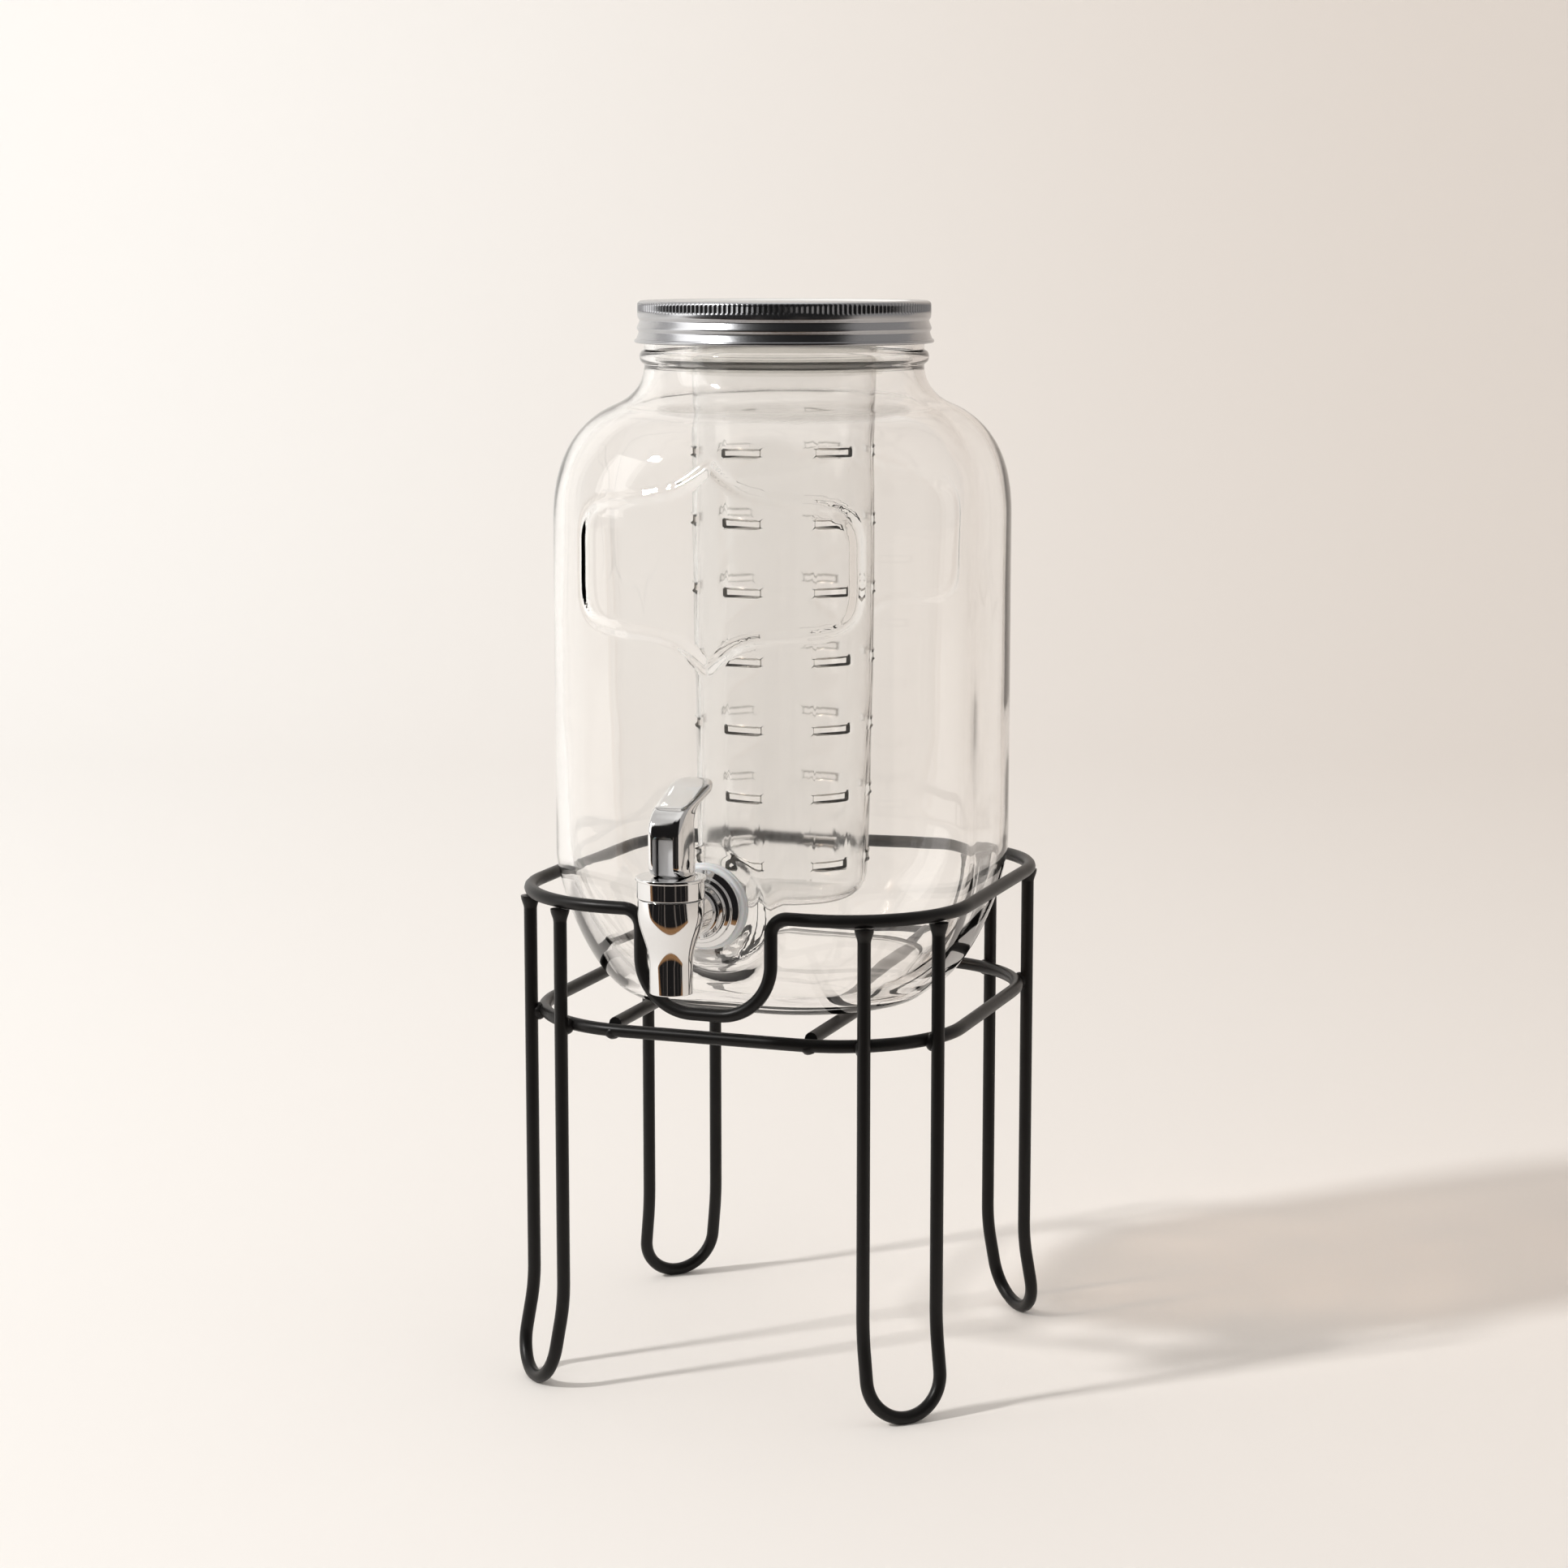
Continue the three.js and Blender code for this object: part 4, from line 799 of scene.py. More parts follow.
@dataclass
class WireStand:
    """The black wire stand: two rings, two cross bars and four hairpin legs."""

    wire_radius: float = 2.5
    weld_gap: float = 0.3
    ring_inset: float = 0.19
    top_height: float = 187.5
    top_half: float = 85.5
    top_corner: float = 47.0
    lower_height: float = 140.6
    lower_corner: float = 48.0
    leg_spread: float = 30.2
    kick_height: float = 34.0
    foot_kick: float = 6.0
    land_depth: float = 0.3
    bead_radius: float = 3.6
    bead_height: float = 4.6
    bar_offset: float = 38.4
    bar_rise: float = 1.8
    dip_half_width: float = 25.3
    dip_depth: float = 37.5
    dip_mouth: float = 6.5
    dip_floor: float = 20.0
    bead_power: float = 1.5
    bead_shares: tuple[float, ...] = (0.15, 0.3, 0.45, 0.6, 0.75, 0.9, 1.0)
    bead_steps: int = 20
    blob_unevenness: float = 0.12
    blob_waves: float = 1.7
    leg_blob: tuple[float, float, float] = (2.9, 2.9, 3.3)
    leg_blob_drop: float = 0.6
    bar_blob: tuple[float, float, float] = (3.3, 3.2, 2.75)
    bar_blob_drop: float = 0.7
    corner_steps: int = 24
    bend_steps: int = 14

    def build(self) -> None:
        """Builds every wire of the stand."""
        self.axis = Vector((0.0, middle("infuser_tube").y, 0.0))
        corner_reach = (self.top_half - self.top_corner) * math.sqrt(2)
        self.leg_reach = corner_reach + math.sqrt(self.top_corner ** 2 - (self.leg_spread / 2) ** 2)
        self.build_top_ring()
        self.build_lower_ring()
        self.build_bars()
        self.build_legs()

    def lower_half(self) -> float:
        """Returns half the lower ring's width, where it passes just inside the legs."""
        reach = self.lower_corner + 2 * self.wire_radius + self.weld_gap
        away = math.sqrt(reach ** 2 - (self.leg_spread / 2) ** 2)
        return (self.leg_reach - away) / math.sqrt(2) + self.lower_corner

    def ring_places(self, half: float, corner: float, height: float) -> list[Vector]:
        """Returns the centre line of a rounded-square ring, from the right end of its front bar."""
        centre = half - corner
        places = []
        for quarter in range(4):
            start = (quarter - 1) * QUARTER_TURN
            x = centre * math.copysign(1, math.cos(start + QUARTER_TURN / 2))
            y = centre * math.copysign(1, math.sin(start + QUARTER_TURN / 2))
            bend = arc((x, y), corner, start, start + QUARTER_TURN, self.corner_steps)
            places += [self.axis + Vector((px, py, height)) for px, py in bend]
        return places

    def dip_places(self, half: float) -> list[Vector]:
        """Returns the centre line of the dip under the tap, from left to right."""
        mouth = self.dip_half_width + self.dip_mouth
        floor = self.dip_half_width - self.dip_floor
        down = arc((mouth, -self.dip_mouth), self.dip_mouth, QUARTER_TURN, math.pi, self.bend_steps)
        lowest = (floor, self.dip_floor - self.dip_depth)
        down += arc(lowest, self.dip_floor, 0.0, -QUARTER_TURN, self.corner_steps)
        outline = [(-x, z) for x, z in down] + down[::-1]
        return [self.axis + Vector((x, -half, self.top_height + z)) for x, z in outline]

    def add_blob(self, bm: Mesh, place: Vector, size: Vector, turn: float = 0.0) -> None:
        """Adds a small uneven weld blob at a place."""
        made = bmesh.ops.create_icosphere(bm, subdivisions=3, radius=1.0)["verts"]
        for vert in made:
            vert.co *= 1 + self.blob_unevenness * noise.noise(vert.co * self.blob_waves + place)
        shape = Matrix.Translation(place) @ Matrix.Rotation(turn, 4, "Z") @ Matrix.Diagonal((*size, 1.0))
        bmesh.ops.transform(bm, matrix=shape, verts=made)

    def wire_piece(self, name: str, places: Sequence[Vector], closed: bool, extra: Mesh) -> None:
        """Makes one wire with its weld blobs into a finished piece."""
        mesh = wire_mesh(places, self.wire_radius, closed)
        bmesh.ops.transform(extra, matrix=Matrix.Scale(MM, 4), verts=extra.verts)
        extra.from_mesh(mesh)
        for vert in extra.verts:
            vert.co.z = max(0.0, vert.co.z)
        bmesh.ops.recalc_face_normals(extra, faces=extra.faces)
        extra.to_mesh(mesh)
        extra.free()
        dressed(name + "_wire", mesh, BLACK_COAT, Carrier.STAND, [name], 60.0)

    def build_top_ring(self) -> None:
        """Builds the top ring with its dip."""
        half = self.top_half - self.ring_inset
        places = self.dip_places(half) + self.ring_places(half, self.top_corner, self.top_height)
        self.wire_piece("top_ring", places, True, bmesh.new())

    def build_lower_ring(self) -> None:
        """Builds the lower ring, with the weld blobs where it meets legs and bars."""
        half = self.lower_half()
        bm = bmesh.new()
        for x, y, turn in self.leg_places():
            for side in (-1, 1):
                across = Vector((math.cos(turn), math.sin(turn), 0.0)) * side * self.leg_spread / 2
                upright = Vector((x, y, 0.0)) + across
                bend = half - self.lower_corner
                corner = Vector((math.copysign(bend, x), math.copysign(bend, y), 0.0))
                inward = (corner - upright).normalized()
                place = self.axis + upright + inward * (self.wire_radius + self.weld_gap / 2)
                place.z = self.lower_height - self.leg_blob_drop
                self.add_blob(bm, place, Vector(self.leg_blob), turn)
        for side in (-1, 1):
            for end in (-1, 1):
                y = end * (self.bar_end(half) + self.wire_radius)
                height = self.lower_height - self.bar_blob_drop
                place = self.axis + Vector((side * self.bar_offset, y, height))
                self.add_blob(bm, place, Vector(self.bar_blob))
        self.wire_piece("lower_ring", self.ring_places(half, self.lower_corner, self.lower_height), True, bm)

    def bar_end(self, half: float) -> float:
        """Returns how far a cross bar reaches from the middle, to the inside of the lower ring."""
        centre = half - self.lower_corner
        step = self.bar_offset + self.wire_radius - centre
        return centre + math.sqrt(self.lower_corner ** 2 - step ** 2) - self.wire_radius - self.weld_gap

    def build_bars(self) -> None:
        """Builds the two bars that carry the jar."""
        reach = self.bar_end(self.lower_half())
        height = self.lower_height + self.bar_rise
        for name, side in (("cross_bar_left", -1), ("cross_bar_right", 1)):
            ends = [self.axis + Vector((side * self.bar_offset, y, height)) for y in (-reach, 0.0, reach)]
            self.wire_piece(name, ends, False, bmesh.new())

    def leg_places(self) -> list[tuple[float, float, float]]:
        """Returns each leg's place on the floor plan and the direction across its hairpin."""
        reach = self.leg_reach / math.sqrt(2)
        return [
            (x * reach, y * reach, math.atan2(y * reach, x * reach) + QUARTER_TURN)
            for x, y in ((-1, -1), (1, -1), (-1, 1), (1, 1))
        ]

    def bead_outline(self, top: float) -> list[Point]:
        """Returns the section of the weld bead round the top of an upright."""
        proud = self.bead_radius - self.wire_radius
        bead = [(0.0, top - self.bead_height), (self.wire_radius, top - self.bead_height)]
        for share in self.bead_shares:
            swell = math.sin(share * QUARTER_TURN) ** self.bead_power
            bead.append((self.wire_radius + proud * swell, top - self.bead_height * (1 - share)))
        bead.append((0.0, top + self.weld_gap))
        return bead

    def build_legs(self) -> None:
        """Builds the four hairpin legs, with their kicked feet and weld beads."""
        names = ("leg_front_left", "leg_front_right", "leg_back_left", "leg_back_right")
        lowest = self.wire_radius - self.land_depth
        lean = math.atan2(self.foot_kick, self.kick_height - lowest)
        half = self.leg_spread / 2
        top = self.top_height - self.wire_radius - self.weld_gap
        turn_start = (self.kick_height - lowest) / math.cos(lean) - half
        soft = half / 2

        def kicked(x: float, along: float) -> Vector:
            """Returns a place on the leaning foot."""
            return Vector((x, along * math.sin(lean), self.kick_height - along * math.cos(lean)))

        def knee(x: float) -> list[Vector]:
            """Returns the soft bend between upright and foot, from above down."""
            start = Vector((x, 0.0, self.kick_height + soft))
            corner = Vector((x, 0.0, self.kick_height))
            end = kicked(x, soft)
            shares = [i / self.bend_steps for i in range(self.bend_steps + 1)]
            return [start * (1 - t) ** 2 + corner * 2 * t * (1 - t) + end * t ** 2 for t in shares]

        turn = arc((0.0, 0.0), half, math.pi, FULL_TURN, 2 * self.corner_steps)
        for name, (x, y, across) in zip(names, self.leg_places()):
            line = [Vector((-half, 0.0, top)), *knee(-half)]
            line += [kicked(px, turn_start - pz) for px, pz in turn]
            line += [*knee(half)[::-1], Vector((half, 0.0, top))]
            shift = Matrix.Translation(self.axis + Vector((x, y, 0.0)))
            turned = shift @ Matrix.Rotation(across - math.pi, 4, "Z")
            bm = bmesh.new()
            for side in (-1, 1):
                before = set(bm.verts)
                turn_outline(bm, self.bead_outline(top), self.bead_steps)
                fresh = [v for v in bm.verts if v not in before]
                bmesh.ops.translate(bm, vec=(side * half, 0.0, 0.0), verts=fresh)
            bmesh.ops.transform(bm, matrix=turned, verts=bm.verts)
            for vert in bm.verts:
                vert.tag = False
            self.wire_piece(name, [turned @ place for place in line], False, bm)


# The jar

@dataclass
class GlassJar:
    """The pressed glass jar: rounded-square body, round screw neck, thick base, raised plain label."""

    base_half: float = 56.0
    heel_height: float = 54.8
    body_half: float = 82.0
    body_corner: float = 64.5
    body_height: float = 124.0
    shoulder_height: float = 59.0
    shoulder_slope: float = math.radians(25.0)
    fillet: float = 16.0
    neck_radius: float = 52.8
    neck_height: float = 21.9
    neck_wall: float = 3.8
    wall: float = 4.0
    base_thickness: float = 6.0
    push_up: float = 1.6
    inner_push_up: float = 1.28
    heel_power: float = 1.5
    shoulder_power: float = 2.5
    rim_rounding: float = 1.2
    bead_drop: float = 18.9
    bead_proud: float = 1.8
    bead_half: float = 2.6
    thread_drop: float = 3.6
    thread_pitch: float = 6.0
    thread_turns: float = 1.25
    thread_proud: float = 0.9
    thread_half: float = 1.5
    pad_radius: float = 18.5
    pad_face: float = 82.5
    pad_thickness: float = 4.3
    hole_radius: float = 8.0
    shank_height: float = 44.8
    ridge_half: float = 1.9
    ridge_proud: float = 1.05
    back_ridge_share: float = 0.5
    ridge_power: float = 0.75
    label_points: tuple[Point, ...] = (
        (0.0, 203.8), (5.6, 199.4), (13.5, 195.0), (24.0, 192.6), (36.0, 191.4), (44.5, 189.8),
        (50.0, 186.2), (52.7, 180.0), (53.0, 170.0), (53.0, 158.0), (51.6, 151.0), (47.0, 146.4),
        (38.0, 144.4), (27.0, 143.3), (16.5, 141.8), (8.4, 138.3), (0.0, 131.4),
    )
    label_low: float = 125.0
    label_high: float = 210.0
    label_sector: float = 0.7
    pad_blend: float = 4.0
    pad_blend_below: float = 8.0
    near_step: float = 1.0
    far_step: float = 3.6
    inner_step: float = 3.8
    unevenness: float = 0.28
    wave_width: float = 30.0
    wave_height: float = 75.0
    fine_wave_share: float = 0.35
    fine_wave_factor: float = 2.3
    fade_height: float = 20.0
    thread_fades: float = 12.0
    base_shares: tuple[float, ...] = (0.0, 0.15, 0.3, 0.45, 0.6, 0.72, 0.82, 0.9, 0.96)
    outer_steps: tuple[int, int, int, int] = (30, 112, 40, 10)
    inner_steps: tuple[int, int, int, int] = (26, 34, 22, 8)
    neck_steps: int = 44
    bore_steps: int = 6
    rim_steps: int = 5
    sharp_degrees: float = 50.0

    def build(self) -> None:
        """Builds the jar and bores the hole for the tap."""
        self.place = Vector((0.0, middle("infuser_tube").y, foot_of("jar")))
        self.height = self.heel_height + self.body_height + self.shoulder_height + self.neck_height
        half = smooth_line(self.label_points, 6)
        self.label = half + [Vector((-p.x, p.y)) for p in half[-2:0:-1]]
        bm = bmesh.new()
        self.columns = self.make_columns(self.near_step, self.far_step)
        outer = drawn_skin(bm, self.outside())
        self.columns = self.make_columns(self.inner_step, self.inner_step)
        inner = drawn_skin(bm, self.inside())
        bmesh.ops.bridge_loops(bm, edges=[*outer.edges, *inner.edges])
        jar = finished("glass_jar", bm, PRESSED_GLASS, Carrier.JAR, ["jar"], self.place, self.sharp_degrees)
        bore = bmesh.new()
        turn_outline(bore, [
            (0.0, self.body_half / 2), (self.hole_radius, self.body_half / 2),
            (self.hole_radius, self.body_half * 2), (0.0, self.body_half * 2),
        ], 48, Facing.FORWARD)
        cut_away(jar, bore, self.place + Vector((0.0, 0.0, self.shank_height)))
        jar.data.shade_smooth()
        jar.data.set_sharp_from_angle(angle=math.radians(self.sharp_degrees))

    def make_columns(self, near: float, far: float) -> list[tuple[Vector, float, float]]:
        """Sets out the columns round the jar.

        Args:
            near: the step between columns across the label, on the front and the back.
            far: the step elsewhere.

        Returns:
            For each column, its corner's direction (from -1 to 1 across a flat), its angle on the body and
            its angle on the round neck.
        """
        flat = self.body_half - self.body_corner
        bend = QUARTER_TURN * self.body_corner
        side = 2 * flat + bend
        reach = self.label_reach()
        places = []
        for face in range(4):
            across = near if face % 2 == 0 else far
            edges = [(-side / 2, -reach, far), (-reach, reach, across), (reach, side / 2, far)]
            for start, end, step in edges:
                count = max(1, round((end - start) / step))
                places += [(face, start + (end - start) * i / count) for i in range(count)]
        columns = []
        for face, along in places:
            middle_angle = -QUARTER_TURN + face * QUARTER_TURN
            past = max(0.0, abs(along) - flat)
            angle = middle_angle + math.copysign(past / self.body_corner, along)
            neck_angle = middle_angle + along / side * QUARTER_TURN
            sideways = within(along / flat, -1.0)
            outward = Vector((math.cos(middle_angle), math.sin(middle_angle)))
            corner = outward + sideways * Vector((-math.sin(middle_angle), math.cos(middle_angle)))
            columns.append((corner, angle, neck_angle))
        return columns

    def label_reach(self) -> float:
        """Returns how far the label's columns reach along the body from the middle of a face."""
        flat = self.body_half - self.body_corner
        widest = max(x for x, _ in self.label_points) + 2 * self.ridge_half
        return flat + self.body_corner * math.asin((widest - flat) / self.body_corner)

    def ring(self, half: float, squareness: float, height: float) -> list[Vector]:
        """Returns one level of the jar.

        Args:
            half: half the level's width.
            squareness: 1 where the level has the body's corners, 0 where it is a circle.
            height: its height above the base.

        Returns:
            The level's points.
        """
        share = 1 + (self.body_corner / self.body_half - 1) * squareness
        corner = half * share
        centre = half - corner
        points = []
        for direction, body_angle, neck_angle in self.columns:
            angle = neck_angle + (body_angle - neck_angle) * squareness
            points.append(Vector((
                direction.x * centre + corner * math.cos(angle),
                direction.y * centre + corner * math.sin(angle),
                height,
            )))
        return points

    def levels(self, wall: float, neck_wall: float, floor: float, counts: tuple[int, int, int, int]) -> list:
        """Returns the levels of the outer or inner form from heel to neck.

        Args:
            wall: how far the form lies inside the outer one.
            neck_wall: the same at the neck.
            floor: how far its base lies above the jar's base.
            counts: steps for heel, body, shoulder and neck fillet.

        Returns:
            Half width, squareness and height of each level.
        """
        body = self.body_half - wall
        base = self.base_half - wall
        neck = self.neck_radius - neck_wall
        fillet = self.fillet + neck_wall
        sweep = QUARTER_TURN - self.shoulder_slope
        heel, straight, shoulder, bend = counts
        found = []
        for i in range(heel + 1):
            angle = QUARTER_TURN * i / heel
            half = base + (body - base) * math.sin(angle) ** (2 / self.heel_power)
            drop = (self.heel_height - floor) * max(0.0, math.cos(angle)) ** (2 / self.heel_power)
            found.append((half, 1.0, self.heel_height - drop))
        for i in range(1, straight):
            found.append((body, 1.0, self.heel_height + self.body_height * i / straight))
        start = self.heel_height + self.body_height
        reach = body - neck - fillet * (1 - math.cos(sweep))
        rise = self.shoulder_height - fillet * math.sin(sweep)
        end = self.shoulder_end(reach, rise)
        power = 2 / self.shoulder_power
        for i in range(shoulder + 1):
            angle = end * i / shoulder
            half = body - reach * (1 - math.cos(angle) ** power) / (1 - math.cos(end) ** power)
            height = start + rise * (math.sin(angle) / math.sin(end)) ** power
            found.append((half, (half - neck) / (body - neck), height))
        bend_middle = (neck + fillet, start + self.shoulder_height)
        for half, height in arc(bend_middle, fillet, sweep - math.pi, -math.pi, bend)[1:]:
            found.append((half, (half - neck) / (body - neck), height))
        return found

    def shoulder_end(self, reach: float, rise: float) -> float:
        """Finds where the shoulder's curve has turned to the slope at which the neck's curve starts.

        Args:
            reach: how far the shoulder runs in.
            rise: how far it runs up.

        Returns:
            The curve's angle there.
        """
        power = 2 / self.shoulder_power
        low, high = 0.01, QUARTER_TURN
        for _ in range(40):
            angle = (low + high) / 2
            across = reach / (1 - math.cos(angle) ** power)
            up = rise / math.sin(angle) ** power
            if up / across * math.tan(angle) ** (power - 2) > math.tan(self.shoulder_slope):
                low = angle
            else:
                high = angle
        return low

    def ridge(self, x: float, height: float) -> float:
        """Returns how far the label's raised outline stands off the glass at a place on front or back."""
        here = Vector((x, height))
        least = self.ridge_half
        for start, end in zip(self.label, self.label[1:] + self.label[:1]):
            line = end - start
            share = within((here - start).dot(line) / line.length_squared)
            least = min(least, (here - start - line * share).length)
        share = least / self.ridge_half
        return self.ridge_proud * (1 - share ** 2) ** self.ridge_power

    def shaped_outside(self, point: Vector) -> Vector:
        """Adds the label's outline and the flat pad round the tap hole to a point of the outer form."""
        rise = 0.0
        faces_label = abs(point.y) > abs(point.x) * self.label_sector
        if faces_label and self.label_low < point.z < self.label_high:
            rise = self.ridge(point.x, point.z) * (1.0 if point.y < 0 else self.back_ridge_share)
        outward = Vector((point.x, point.y, 0.0)).normalized()
        point = point + outward * rise
        share = self.pad_share(point)
        point.y += (-self.pad_face - point.y) * share
        return point

    def pad_share(self, point: Vector) -> float:
        """Returns how far a point is drawn to the flat pad: 1 on the pad, 0 clear of its soft edge."""
        if point.y > 0:
            return 0.0
        rise = point.z - self.shank_height
        away = math.hypot(point.x, rise)
        blend = self.pad_blend + self.pad_blend_below * max(0.0, -rise) / max(away, 1.0)
        return soft_step(within((self.pad_radius + blend - away) / blend))

    def shaped_inside(self, point: Vector) -> Vector:
        """Adds the spot face behind the pad and the unevenness of pressed glass to an inner point."""
        share = self.pad_share(point)
        if share > 0:
            point.y += (self.pad_thickness - self.pad_face - point.y) * share
            return point
        outward = Vector((point.x, point.y, 0.0)).normalized()
        width = self.wave_width
        stretched = Vector((point.x / width, point.y / width, point.z / self.wave_height))
        fine_wave = noise.noise(stretched * self.fine_wave_factor)
        wave = noise.noise(stretched) + self.fine_wave_share * fine_wave
        fade = within((self.height - self.neck_height - point.z) / self.fade_height)
        return point + outward * wave * self.unevenness * fade

    def neck_rise(self, point: Vector) -> float:
        """Returns how far the thread or the transfer bead stands off the neck at a point."""
        drop = self.height - point.z
        bead = abs(drop - self.bead_drop)
        if bead < self.bead_half:
            return self.bead_proud * math.sqrt(1 - (bead / self.bead_half) ** 2)
        rise = 0.0
        turn = (math.atan2(point.y, point.x) / FULL_TURN) % 1.0
        for lap in range(3):
            turns = turn + lap
            if turns > self.thread_turns:
                break
            away = abs(drop - self.thread_drop - turns * self.thread_pitch)
            if away < self.thread_half:
                fade = min(1.0, turns * self.thread_fades, (self.thread_turns - turns) * self.thread_fades)
                round_share = math.cos(QUARTER_TURN * away / self.thread_half)
                rise = max(rise, fade * self.thread_proud * round_share)
        return rise

    def outside(self) -> list[list[Vector]]:
        """Returns the rings from the middle of the base out, up the outer form and over the rim."""
        rings = []
        floor_half = self.base_half
        for share in self.base_shares:
            lift = self.push_up * (1 - share ** 6)
            rings.append(self.ring(max(LEAST, floor_half * share), 1.0, lift))
        for half, squareness, height in self.levels(0.0, 0.0, 0.0, self.outer_steps):
            rings.append([self.shaped_outside(point) for point in self.ring(half, squareness, height)])
        neck_start = self.height - self.neck_height
        rim = self.height - self.rim_rounding
        for i in range(1, self.neck_steps + 1):
            height = neck_start + (self.neck_height - self.rim_rounding) * i / self.neck_steps
            ring = self.ring(self.neck_radius, 0.0, height)
            for point in ring:
                point += Vector((*point.xy, 0.0)).normalized() * self.neck_rise(point)
            rings.append(ring)
        rim_middle = (self.neck_radius - self.rim_rounding, rim)
        rounding = arc(rim_middle, self.rim_rounding, 0.0, QUARTER_TURN, self.rim_steps)
        rings += [self.ring(half, 0.0, height) for half, height in rounding[1:]]
        return rings

    def inside(self) -> list[list[Vector]]:
        """Returns the rings from the middle of the floor up the inner form to the rim."""
        rings = []
        floor_half = self.base_half - self.wall
        for share in self.base_shares:
            lift = self.inner_push_up * (1 - share ** 4)
            rings.append(self.ring(max(LEAST, floor_half * share), 1.0, self.base_thickness + lift))
        for half, squareness, height in self.levels(
            self.wall, self.neck_wall, self.base_thickness, self.inner_steps,
        ):
            rings.append([self.shaped_inside(point) for point in self.ring(half, squareness, height)])
        bore = self.neck_radius - self.neck_wall
        rim = self.height - self.rim_rounding
        neck_start = self.height - self.neck_height
        for i in range(1, self.bore_steps):
            rings.append(self.ring(bore, 0.0, neck_start + (rim - neck_start) * i / self.bore_steps))
        rim_middle = (bore + self.rim_rounding, rim)
        rounding = arc(rim_middle, self.rim_rounding, math.pi, QUARTER_TURN, self.rim_steps)
        rings += [self.ring(half, 0.0, height) for half, height in rounding]
        return rings


# The lid

